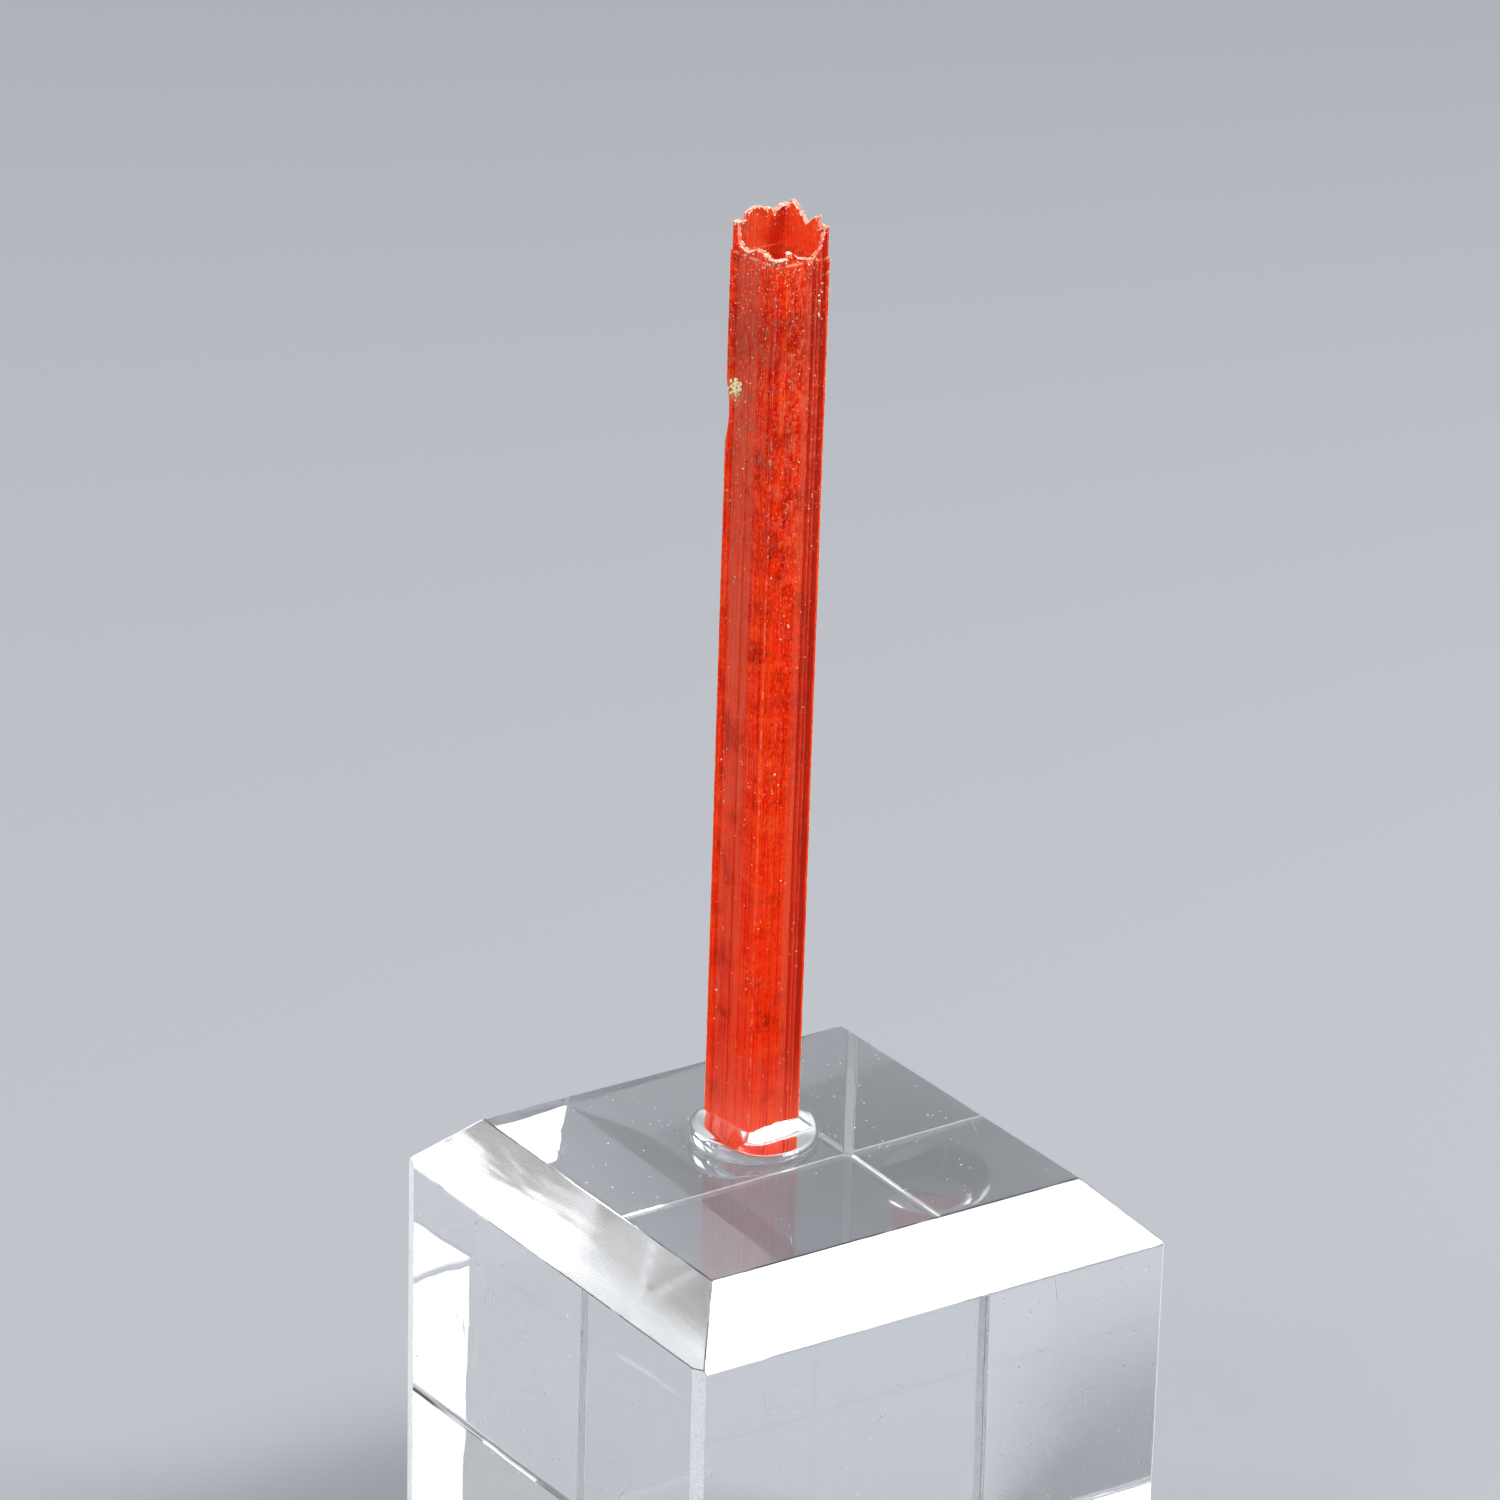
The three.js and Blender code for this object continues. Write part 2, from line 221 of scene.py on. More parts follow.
def is_scrape(face):
    normal = face.normal
    return abs(normal.z) < SLANTED and min(abs(normal.x), abs(normal.y)) > SLANTED


edit(block)
scraped = pick(block, "faces", is_scrape)
for face in bmesh.from_edit_mesh(block.data).faces:
    face.material_index = 1 if face.select else 0
bpy.ops.mesh.select_all(action="SELECT")
bpy.ops.mesh.select_mode(type="EDGE")
bpy.ops.mesh.bevel(
    offset_type="OFFSET", offset=POLISHED_EDGE, segments=2, profile=0.5, affect="EDGES", material=-1
)
done()
print("scraped corners:", scraped, "faces now:", len(block.data.polygons))

# %% [markdown]
# The adhesive was a drop that flattened, swelled over its own foot and wetted the crystal. It
# starts as a circle. Extruding and resizing raise its side, then a bridge to the crystal's
# outline closes its top, and each loop of the bridge is lifted to the height of the liquid.

# %% Bead, side
BEAD_CENTRE = Vector((-0.77, 1.37, 0)) * MM
BEAD_TURNS = 160
BEAD_SIDE = [  # radius, height above the block
    (2.78, -0.02), (2.86, 0.03), (2.95, 0.12), (3.01, 0.24), (3.03, 0.38),
    (3.03, 0.54), (3.01, 0.68), (2.96, 0.8), (2.88, 0.89),
]
PRISM_CENTRE = Vector((-0.567, 1.885, 0)) * MM
PRISM_TURN = math.radians(2.91)
LEAN = (math.radians(0.39), math.radians(0.18))
PRISM_ALONG = 2.92
PRISM_ACROSS = 3.17
PRISM_ANGLE = math.radians(93.2)
SOCKET_INSET = 0.1

crystal_turn = Euler((LEAN[0], LEAN[1], PRISM_TURN), "ZYX")
crystal_foot = PRISM_CENTRE + Vector((0, 0, BLOCK_TOP))
crystal_place = Matrix.Translation(crystal_foot) @ crystal_turn.to_matrix().to_4x4()


def prism_corners(inset=0):
    """The crystal's four corners in its own frame: front left, front right, back right, back left."""
    across = Vector((math.cos(PRISM_ANGLE), math.sin(PRISM_ANGLE)))
    half_along = PRISM_ALONG / 2 - inset / math.sin(PRISM_ANGLE)
    half_across = PRISM_ACROSS / 2 - inset / math.sin(PRISM_ANGLE)
    signs = [(-1, -1), (1, -1), (1, 1), (-1, 1)]
    return [(Vector((a * half_along, 0)) + across * b * half_across) * MM for a, b in signs]


FACES = ["front", "right", "back", "left"]


def wall_frame(face, inset=0):
    """A wall's own frame: x along it from its first corner, y inward, z up, in metres."""
    corners = prism_corners(inset)
    index = FACES.index(face)
    start = corners[index]
    along = corners[(index + 1) % 4] - start
    x = Vector((*along.normalized(), 0))
    z = Vector((0, 0, 1))
    y = z.cross(x)
    frame_matrix = Matrix((x, y, z)).transposed().to_4x4()
    frame_matrix.translation = Vector((*start, 0))
    return frame_matrix, along.length / MM


def square_outline(inset, height):
    """A loop of four points at the crystal's corners, moved in by the inset, in its own frame."""
    bpy.ops.object.select_all(action="DESELECT")
    bpy.ops.mesh.primitive_circle_add(vertices=4, radius=MM, rotation=(0, 0, math.radians(45)))
    loop = bpy.context.object
    settle(loop)
    for corner in prism_corners(inset):
        way = corner.normalized()
        near = min(loop.data.vertices, key=lambda v: (v.co.xy.normalized() - way).length)
        near.co = Vector((*corner, height))
    return loop


def raise_loop(lift, grow, centre):
    extrude_up(lift)
    bpy.ops.transform.resize(value=(grow, grow, 1), center_override=centre)


first_radius, first_height = BEAD_SIDE[0]
start = BEAD_CENTRE + Vector((0, 0, BLOCK_TOP + first_height * MM))
bpy.ops.object.select_all(action="DESELECT")
bpy.ops.mesh.primitive_circle_add(vertices=BEAD_TURNS, radius=first_radius * MM, location=start)
bead = bpy.context.object
bead.name = "glue_bead"
settle(bead)
edit(bead)
bpy.ops.mesh.select_all(action="SELECT")
bpy.ops.mesh.edge_face_add()
bpy.ops.mesh.select_all(action="SELECT")
for (radius, height), (next_radius, next_height) in zip(BEAD_SIDE, BEAD_SIDE[1:]):
    raise_loop((next_height - height) * MM, next_radius / radius, start)
bpy.ops.mesh.delete(type="ONLY_FACE")
done()
print("bead side has", len(bead.data.vertices), "points")

# %% [markdown]
# The top of the drop is not flat. Where it wets the crystal it climbs a little, and in front of
# the crystal's front face it slopes down at about 46 degrees to a low shelf. That slope faces
# the main light just as the block's front bevel does, so it is the brightest spot of the drop.
# It sags a little toward its two ends, which gives that bright spot its rounded outline.
# A bridge makes the rings, and a formula of the distance to the crystal gives their heights.

# %% Bead, top and socket
BEAD_RINGS = 22
SOCKET_TOP = 1.04
SOCKET_FLOOR = 0.3
FLAT_TOP = 0.96
CLIMB = 0.1
CLIMB_REACH = 0.22
SLOPE_TOP = 1.16
SLOPE = math.tan(math.radians(46))
SHELF = 0.56
SHELF_FALL = 0.05
BLUNT = 0.08
SAG = 0.1
HALF_FRONT = 1.45
LIP_UNDER = 0.02
LEVEL_HAIR = 0.001
SIDE_FOOT = 0.1
SIDE_RADIUS = 2.7
FRONT_WAY = Vector((0.12, -1.0)).normalized()
FRONT_FADE = (0.42, 0.9)
RIM_ROUNDING = 0.3
BEAD_CREASE = math.radians(60)


def smooth(value, low, high):
    share = min(max((value - low) / (high - low), 0), 1)
    return share * share * (3 - 2 * share)


def frontness(place):
    """1 in front of the crystal's front face, fading to 0 round its two front edges."""
    out = (place.xy - PRISM_CENTRE.xy).normalized()
    return smooth(out.dot(FRONT_WAY), *FRONT_FADE)


def crystal_gap(place):
    """How far a place is outside the crystal's square outline, in mm."""
    into = crystal_place.inverted()
    local = into @ Vector((place.x, place.y, BLOCK_TOP))
    outside = [-(wall_frame(face)[0].inverted() @ local).y / MM for face in FACES]
    return max(max(outside), 0)


def liquid_height(place, rim_share):
    """The height of the drop's top; rim_share is 0 at its outer edge and 1 at the crystal."""
    gap = crystal_gap(place)
    rim = BEAD_SIDE[-1][1]
    rounded = rim + (FLAT_TOP - rim) * smooth(rim_share, 0, RIM_ROUNDING)
    level = rounded + CLIMB * math.exp(-gap / CLIMB_REACH)
    aside = (place.xy - PRISM_CENTRE.xy).dot(Vector((-FRONT_WAY.y, FRONT_WAY.x))) / MM
    slope = SLOPE_TOP - SLOPE * gap - SAG * (aside / HALF_FRONT) ** 2
    shelf = SHELF - SHELF_FALL * (1 - rim_share)
    front = (slope + shelf + math.hypot(slope - shelf, BLUNT)) / 2
    share = frontness(place)
    return level * (1 - share) + front * share


def socket_loop():
    loop = square_outline(SOCKET_INSET, SOCKET_TOP * MM)
    for vertex in loop.data.vertices:
        vertex.co = crystal_place @ vertex.co
        vertex.co.z = BLOCK_TOP + SOCKET_TOP * MM
    edit(loop)
    bpy.ops.mesh.select_all(action="SELECT")
    bpy.ops.mesh.subdivide(number_cuts=BEAD_TURNS // 4 - 1)
    done()
    return loop


socket = socket_loop()
only(bead)
socket.select_set(True)
bpy.ops.object.join()
edit(bead)
rim_level = BLOCK_TOP + BEAD_SIDE[-1][1] * MM
socket_level = BLOCK_TOP + SOCKET_TOP * MM
pick(bead, "edges", lambda e: all(v.co.z > rim_level - HAIR for v in e.verts))
bpy.ops.mesh.bridge_edge_loops(number_cuts=BEAD_RINGS, interpolation="LINEAR")
pick(bead, "verts", lambda v: abs(v.co.z - socket_level) < HAIR)
extrude_up((SOCKET_FLOOR - SOCKET_TOP) * MM)
bpy.ops.mesh.edge_face_add()
face_outward()
done()
side_top = BEAD_SIDE[-1][1]
low_top = SHELF - SHELF_FALL - LIP_UNDER
for vertex in bead.data.vertices:
    height = (vertex.co.z - BLOCK_TOP) / MM
    if height > side_top - LEVEL_HAIR:
        rim_share = (vertex.co.z - rim_level) / (socket_level - rim_level)
        vertex.co.z = BLOCK_TOP + liquid_height(vertex.co, rim_share) * MM
    elif (vertex.co.xy - BEAD_CENTRE.xy).length > SIDE_RADIUS * MM and height > SIDE_FOOT:
        squeeze = (low_top - SIDE_FOOT) / (side_top - SIDE_FOOT)
        squeezed = SIDE_FOOT + (height - SIDE_FOOT) * squeeze
        share = frontness(vertex.co)
        vertex.co.z = BLOCK_TOP + (height * (1 - share) + squeezed * share) * MM
only(bead)
bpy.ops.object.shade_smooth_by_angle(angle=BEAD_CREASE)
print("bead has", triangles(bead), "triangles")

# %% [markdown]
# The crystal grew as a four-sided prism. It starts as a circle of four points at its four
# corners, goes up to the line where growth paused, steps in a little and goes on to the tip.
# It is modelled upright at the origin, and its object carries the lean and the place.

# %% Crystal, prism
CRYSTAL_FOOT = 0.235 * MM
GROWTH_STEP = 42.93 * MM
TIP_TOP = 45.6 * MM
TIP_SETBACK = 0.06 * MM
ROW_CUTS = 11
COLUMN_CUTS = 52
TIP_CUTS = 12

crystal = square_outline(0, CRYSTAL_FOOT)
crystal.name = "crocoite_crystal"
edit(crystal)
bpy.ops.mesh.select_all(action="SELECT")
bpy.ops.mesh.edge_face_add()
extrude_up(GROWTH_STEP - CRYSTAL_FOOT)
bpy.ops.mesh.inset(thickness=TIP_SETBACK, depth=0, use_even_offset=True)
extrude_up(TIP_TOP - GROWTH_STEP)
face_outward()


def is_upright(edge):
    low, high = sorted(v.co.z for v in edge.verts)
    return high - low > 0.5 * edge.calc_length()


def in_body(edge):
    return is_upright(edge) and max(v.co.z for v in edge.verts) < GROWTH_STEP + HAIR


def in_tip(edge):
    return is_upright(edge) and min(v.co.z for v in edge.verts) > GROWTH_STEP - HAIR


pick(crystal, "edges", in_tip)
bpy.ops.mesh.subdivide(number_cuts=TIP_CUTS)
for _ in range(2):
    pick(crystal, "edges", in_body)
    bpy.ops.mesh.subdivide(number_cuts=ROW_CUTS)
pick(crystal, "edges", lambda e: not is_upright(e) and e.calc_length() > MM)
bpy.ops.mesh.subdivide(number_cuts=COLUMN_CUTS)
done()
print("crystal prism:", len(crystal.data.polygons), "faces,", triangles(crystal), "triangles")

# %% [markdown]
# The photo shows a few growth steps that are larger than the rest: ledges that stand out over
# part of the length, and grooves that run all the way up. Each is one lengthwise strip of the
# wall's points, which is picked by its place and moved out or in.

# %% Crystal, ledges and grooves
LEDGES = {  # start along the wall, width, low end, high end, relief, all in mm
    "front": [
        (0.16, 0.5, 19.9, 41.5, 0.04), (2.52, 0.34, 3.0, 40.2, 0.05), (1.0, 0.42, 0.3, 14.6, 0.03),
    ],
    "right": [(0.5, 0.6, 8.0, 37.0, 0.05)],
    "back": [(1.6, 0.7, 2.0, 31.0, 0.05)],
    "left": [
        (1.8, 1.1, 19.9, 38.8, 0.045), (0.06, 0.4, 0.3, 33.9, 0.04), (1.05, 0.5, 2.4, 30.0, 0.035),
    ],
}
GROOVES = {  # start along the wall, width, depth; they run the whole length
    "front": [(2.06, 0.13, 0.06), (2.34, 0.07, 0.04)],
    "right": [(0.95, 0.1, 0.05), (2.3, 0.16, 0.05)],
    "back": [(0.7, 0.14, 0.06), (1.35, 0.08, 0.05)],
    "left": [(0.5, 0.07, 0.03), (1.5, 0.08, 0.03)],
}
GROOVE_TOP = GROWTH_STEP / MM - 0.1
STRIP_REACH = 0.2


def raise_strip(piece, face, start, width, low, high, relief):
    """Moves one lengthwise strip of a wall out by the relief, or in where that is negative."""
    wall = wall_frame(face)[0]
    into_wall = wall.inverted()

    def on_strip(vertex):
        local = (into_wall @ vertex.co) / MM
        on_wall_plane = abs(local.y) < STRIP_REACH
        return on_wall_plane and start < local.x < start + width and low < local.z < high

    pick(piece, "verts", on_strip)
    bpy.ops.transform.translate(value=wall.to_3x3() @ Vector((0, -relief * MM, 0)))


edit(crystal)
for face in FACES:
    for start, width, low, high, relief in LEDGES[face]:
        raise_strip(crystal, face, start, width, low, high, relief)
    for start, width, depth in GROOVES[face]:
        raise_strip(crystal, face, start, width, 0, GROOVE_TOP, -depth)
done()
print("ledges:", sum(map(len, LEDGES.values())), "grooves:", sum(map(len, GROOVES.values())))

# %% [markdown]
# High on the back left edge a shallow dent was worn or broken in. The points of that edge are
# pushed in along the prism's diagonal, most in the middle of the dent and less toward its ends.

# %% Crystal, dented edge
DENT = {"height": 35.4, "half_length": 1.45, "reach": 0.42, "depth": 0.15}
back_left = Vector((*prism_corners()[3], 0)) / MM
for vertex in crystal.data.vertices:
    place = vertex.co / MM
    off_edge = (place.xy - back_left.xy).length / DENT["reach"]
    off_middle = abs(place.z - DENT["height"]) / DENT["half_length"]
    if off_edge < 1 and off_middle < 1:
        sunk = DENT["depth"] * (1 - off_edge) * (1 - off_middle ** 2)
        vertex.co -= Vector((*back_left.xy.normalized(), 0)) * sunk * MM
print("edge dented by", DENT["depth"], "mm at", DENT["height"], "mm")

# %% [markdown]
# Crocoite is striated: its faces are built of long narrow growth steps a few hundredths of a
# millimetre high. A Displace modifier raises them from a procedural pattern. The pattern is read
# through an empty that is stretched along the prism, so its cells become long slivers.

# %% Crystal, striation
SLIVERS = {  # pattern kind: cell across, stretch, relief, all in mm
    "broad": (0.62, 38.0, 0.022),
    "narrow": (0.16, 80.0, 0.022),
}
SLIVERS_FROM = (0.3, 0.7, 3.1)


def sliver_texture(name):
    pattern = bpy.data.textures.new(name, "VORONOI")
    pattern.color_mode = "POSITION"
    pattern.noise_scale = 1.0
    return pattern


def displace(piece, pattern, across, stretch, relief, offset=(0, 0, 0), direction="NORMAL"):
    """Displaces a piece by a pattern that is stretched along z."""
    stretcher = bpy.data.objects.new("stretcher", None)
    stretcher.scale = (across * MM, across * MM, across * stretch * MM)
    stretcher.location = Vector(offset) * MM
    bpy.context.scene.collection.objects.link(stretcher)
    bpy.context.view_layer.update()
    modifier = piece.modifiers.new("relief", "DISPLACE")
    modifier.texture = pattern
    modifier.texture_coords = "OBJECT"
    modifier.texture_coords_object = stretcher
    modifier.strength = relief * MM
    modifier.mid_level = 0.5
    modifier.direction = direction
    finish_modifier(piece, modifier)
    bpy.data.objects.remove(stretcher)


for name, (across, stretch, relief) in SLIVERS.items():
    displace(crystal, sliver_texture(name), across, stretch, relief, offset=SLIVERS_FROM)
    print(name, "growth steps raised by", relief, "mm")

# %% [markdown]
# The tip is torn: four thin walls of uneven height stand round a hollow. One cutter, a lid over
# all four, takes the tip down to its torn edge. It starts as a fine grid, each point goes to the
# height of the edge below it, and a Displace modifier crumples it before it is raised to a block.

# %% Crystal, torn tip
WALL = 0.56
RIM = {  # distance along the wall, height above the block
    "front": [(-0.4, 43.2), (0.24, 43.25), (0.55, 43.5), (0.84, 43.47), (1.1, 43.2), (1.42, 43.09),
              (1.93, 42.99), (2.2, 43.23), (2.42, 43.6), (2.56, 44.1), (2.66, 44.35), (3.4, 44.3)],
    "right": [(-0.4, 44.3), (0.14, 44.34), (0.4, 44.7), (0.64, 44.68), (0.92, 44.52), (1.15, 44.33),
              (1.36, 44.13), (1.66, 44.43), (2.02, 44.76), (2.38, 44.99), (2.72, 44.97), (3.6, 44.72)],
    "back": [(-0.4, 44.74), (0.27, 44.6), (0.55, 44.43), (0.7, 44.22), (0.82, 44.57), (1.26, 44.65),
             (1.48, 44.77), (1.76, 44.74), (2.04, 44.62), (2.34, 44.5), (2.6, 44.46), (3.4, 44.26)],
    "left": [(-0.4, 44.28), (0.3, 44.26), (0.36, 43.42), (0.71, 43.18), (1.13, 43.11), (1.53, 43.36),
             (2.09, 43.38), (2.52, 43.15), (2.9, 43.22), (3.6, 43.2)],
}


def rim_height(face, along):
    points = RIM[face]
    for (d0, h0), (d1, h1) in zip(points, points[1:]):
        if along <= d1:
            return h0 + (h1 - h0) * (along - d0) / (d1 - d0)
    return points[-1][1]


def cut(piece, cutter):
    modifier = piece.modifiers.new("cut", "BOOLEAN")
    modifier.operation = "DIFFERENCE"
    modifier.solver = "EXACT"
    modifier.object = cutter
    modifier.material_mode = "TRANSFER"
    finish_modifier(piece, modifier)
    bpy.data.objects.remove(cutter)


def crumpled_texture(name):
    pattern = bpy.data.textures.new(name, "CLOUDS")
    pattern.noise_scale = 1.0
    pattern.noise_depth = 3
    pattern.noise_type = "HARD_NOISE"
    return pattern


LID_REACH = 0.35
LID_CELLS = 96
LID_TOP = 48 * MM
LID_THICKNESS = 4 * MM
TORN_GRAIN = 0.26
TORN_RELIEF = 0.16
TORN_OFFSET = (0.4, 1.3, 0)


def torn_height(place):
    """The height of the torn edge over a place in the crystal's frame, in mm."""
    walls = []
    for face in FACES:
        local = wall_frame(face, TIP_SETBACK / MM)[0].inverted() @ place
        walls.append((local.y / MM, rim_height(face, local.x / MM)))
    near = [height for depth, height in walls if depth < WALL]
    return min(near) if near else min(walls)[1]


crystal_material = bpy.data.materials.new("crocoite")
crust_material = bpy.data.materials.new("torn crust")
crystal.data.materials.append(crystal_material)
bpy.ops.object.select_all(action="DESELECT")
bpy.ops.mesh.primitive_grid_add(x_subdivisions=LID_CELLS, y_subdivisions=LID_CELLS, size=MM)
lid = bpy.context.object
half_x = PRISM_ALONG / 2 + LID_REACH
half_y = PRISM_ACROSS / 2 + LID_REACH
for vertex in lid.data.vertices:
    place = Vector((vertex.co.x * 2 * half_x, vertex.co.y * 2 * half_y, 0))
    vertex.co = place + Vector((0, 0, torn_height(place) * MM))
crumpled = crumpled_texture("torn")
displace(lid, crumpled, TORN_GRAIN, 1.0, TORN_RELIEF, TORN_OFFSET, direction="Z")
edit(lid)
bpy.ops.mesh.select_all(action="SELECT")
extrude_up(LID_THICKNESS)
bpy.ops.transform.resize(value=(1, 1, 0), center_override=(0, 0, LID_TOP))
face_outward()
done()
lid.data.materials.append(crust_material)
cut(crystal, lid)
print("rim torn, crystal has", triangles(crystal), "triangles")

# %% [markdown]
# The crystal is hollow at its tip, as fast-grown crocoite often is: the edges grew on while the
# middle of the end face fell behind. The hollow's floor is out of sight, so its depth is a
# guess. Its cutter is an outline that is inset and pushed down four times, like a funnel of
# steps, and a Displace modifier gives its walls lengthwise steps like those outside.

# %% Crystal, hollow
HOLLOW_CEILING = 47 * MM
HOLLOW_STEPS = [(0.2, 42.9), (0.44, 42.0), (0.76, 41.1), (1.02, 40.2)]  # inset, floor
HOLLOW_CUTS = (10, 24)
HOLLOW_RELIEF = {"across": 0.2, "stretch": 20.0, "relief": 0.1}

hollow = square_outline(HOLLOW_STEPS[0][0], HOLLOW_CEILING)
edit(hollow)
bpy.ops.mesh.select_all(action="SELECT")
bpy.ops.mesh.edge_face_add()
level_now = HOLLOW_CEILING
for step, (inset, floor) in enumerate(HOLLOW_STEPS):
    if step:
        narrower = (inset - HOLLOW_STEPS[step - 1][0]) * MM
        bpy.ops.mesh.inset(thickness=narrower, use_even_offset=True)
    extrude_up(floor * MM - level_now)
    level_now = floor * MM
face_outward()
pick(hollow, "edges", is_upright)
bpy.ops.mesh.subdivide(number_cuts=HOLLOW_CUTS[0])
pick(hollow, "edges", lambda e: not is_upright(e) and e.calc_length() > 0.5 * MM)
bpy.ops.mesh.subdivide(number_cuts=HOLLOW_CUTS[1])
done()
hollow.data.materials.append(crystal_material)
displace(hollow, sliver_texture("inner steps"), **HOLLOW_RELIEF)
cut(crystal, hollow)
print("hollow cut, crystal has", triangles(crystal), "triangles")

# %% [markdown]
# The crystal was set by hand and leans a little. Only now, with every cut made in its own
# upright frame, is it turned and moved to its place, and that place goes into its mesh.
# Smoothing by angle keeps the growth steps crisp and the flat faces flat. A crumpled edge could
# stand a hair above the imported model's top, so no point is let higher than that.

# %% Crystal, place
CRYSTAL_CREASE = math.radians(18)

crystal.matrix_world = crystal_place
settle(crystal)
for vertex in crystal.data.vertices:
    vertex.co.z = min(vertex.co.z, cad_box[1][2])
only(crystal)
bpy.ops.object.shade_smooth_by_angle(angle=CRYSTAL_CREASE)
low = min(v.co.z for v in crystal.data.vertices)
high = max(v.co.z for v in crystal.data.vertices)
print("crystal from", round(low / MM, 3), "to", round(high / MM, 3), "mm")

# %% [markdown]
# Loose grains cling to the crystal. The torn edge is crumbly and pale, and a patch of cream
# mineral sits high on the left face. One angular grain is made from an icosphere, and each copy
# gets its own mesh, size and turn before they are joined into one piece.

# %% Grains, how they are made
draw = random.Random(41)
GRAIN_TILT = 0.5


def seed_grain(name, roughness):
    bpy.ops.object.select_all(action="DESELECT")
    bpy.ops.mesh.primitive_ico_sphere_add(subdivisions=1, radius=MM)
    grain = bpy.context.object
    grain.name = name
    for vertex in grain.data.vertices:
        vertex.co *= 1 + draw.uniform(-roughness, roughness)
    return grain


def join_copies(name, seed, shapes, material):
    copies = []
    for shape in shapes:
        copy = seed.copy()
        copy.data = seed.data.copy()
        copy.data.transform(shape)
        bpy.context.scene.collection.objects.link(copy)
        copies.append(copy)
    bpy.data.objects.remove(seed)
    bpy.ops.object.select_all(action="DESELECT")
    for copy in copies:
        copy.select_set(True)
    bpy.context.view_layer.objects.active = copies[0]
    bpy.ops.object.join()
    joined = bpy.context.object
    joined.name = name
    joined.data.materials.append(material)
    print(name, "has", len(copies), "grains,", triangles(joined), "triangles")
    return joined


def scatter(name, places, roughness, material):
    """Copies a grain to each (place, size, stretch) of the crystal's frame and joins the copies."""
    shapes = []
    for place, size, stretch in places:
        turn = Euler([draw.uniform(0, math.tau) for _ in range(3)]).to_matrix().to_4x4()
        tilt = Euler([draw.gauss(0, GRAIN_TILT) for _ in range(3)]).to_matrix().to_4x4()
        long = tilt @ Matrix.Diagonal((1, 1, stretch, 1))
        grain = long @ turn @ Matrix.Scale(size, 4)
        shapes.append(crystal_place @ Matrix.Translation(place * MM) @ grain)
    return join_copies(name, seed_grain(name + "_seed", roughness), shapes, material)


def on_wall(face, along, depth, height, inset=0):
    """A place on a wall, in the crystal's frame and in mm."""
    return (wall_frame(face, inset)[0] @ (Vector((along, depth, height)) * MM)) / MM


# %% [markdown]
# The crumbs sit on the torn edge, on the outer or the inner side of its thin walls. Some hang a
# little way down the wall, as broken bits do. Six clumps of larger ones stand on the lip.

# %% Grains, crumbs on the torn edge
TALLEST = (cad_box[1][2] - BLOCK_TOP) / MM
CRUMBS_PER_WALL = 190
CRUMB_SIZE = (0.015, 0.05)
CRUMB_DEPTHS = [0.0, 0.19]
CRUMB_STRAY = 0.02
HANGING = 0.45
HANG_RATE = 9
CLUMP_CRUMBS = 14
CLUMP_SPREAD = 0.09
CLUMP_DEPTH = (0.0, 0.2)
CLUMP_SIZE = (0.03, 0.07)
LIP_CLUMPS = [  # face, distance along it
    ("front", 0.35), ("front", 0.62), ("front", 1.35), ("front", 1.6), ("left", 2.3), ("left", 1.2),
]

crumb_places = []
for face in FACES:
    length = wall_frame(face, TIP_SETBACK / MM)[1]
    for _ in range(CRUMBS_PER_WALL):
        along = draw.uniform(CRUMB_STRAY, length - CRUMB_STRAY)
        depth = draw.choice(CRUMB_DEPTHS) + draw.gauss(0, CRUMB_STRAY)
        size = draw.uniform(*CRUMB_SIZE)
        hang = draw.expovariate(HANG_RATE) if draw.random() < HANGING else 0
        place = on_wall(face, along, depth, 0, TIP_SETBACK / MM)
        height = min(torn_height(place * MM) - 0.6 * size, TALLEST - 2 * size) - hang
        crumb_places.append((place + Vector((0, 0, height)), size, 1))
for face, start in LIP_CLUMPS:
    for _ in range(CLUMP_CRUMBS):
        along = start + draw.gauss(0, CLUMP_SPREAD)
        depth = draw.uniform(*CLUMP_DEPTH)
        size = draw.uniform(*CLUMP_SIZE)
        place = on_wall(face, along, depth, 0, TIP_SETBACK / MM)
        height = torn_height(place * MM) - 0.3 * size
        crumb_places.append((place + Vector((0, 0, height)), size, 1))
crumb_material = bpy.data.materials.new("torn crumbs")
crumbs = scatter("tip_crumbs", crumb_places, 0.35, crumb_material)

# %% [markdown]
# The cream grains lie close together, most of them in the middle of their patch. The pale
# specks are thinly spread over all four faces, more of them low down than near the tip, and a
# few are larger or drawn out along the prism.

# %% Grains, cream patch and specks
PATCH = {"along": 0.62, "height": 36.65, "spread_along": 0.187, "spread_up": 0.204, "count": 46}
PATCH_EDGE = 0.05
PATCH_SIZE = (0.04, 0.12)
SPECK_COUNTS = {"front": 210, "right": 170, "back": 170, "left": 270}
SPECK_TOP = 42.8
SPECK_FOOT = 1.2
SPECK_CROWDING = 2.1
SPECK_SIZE = (0.014, 0.036)
SPECK_STRETCH = (1.5, 3.2)
SPECK_MARGIN = 0.03

patch_places = []
for _ in range(PATCH["count"]):
    along = max(PATCH["along"] + draw.gauss(0, PATCH["spread_along"]), PATCH_EDGE)
    height = PATCH["height"] + draw.gauss(0, PATCH["spread_up"])
    patch_places.append((on_wall("left", along, 0.0, height), draw.uniform(*PATCH_SIZE), 1))
grain_material = bpy.data.materials.new("cream grains")
cream = scatter("cream_grains", patch_places, 0.3, grain_material)

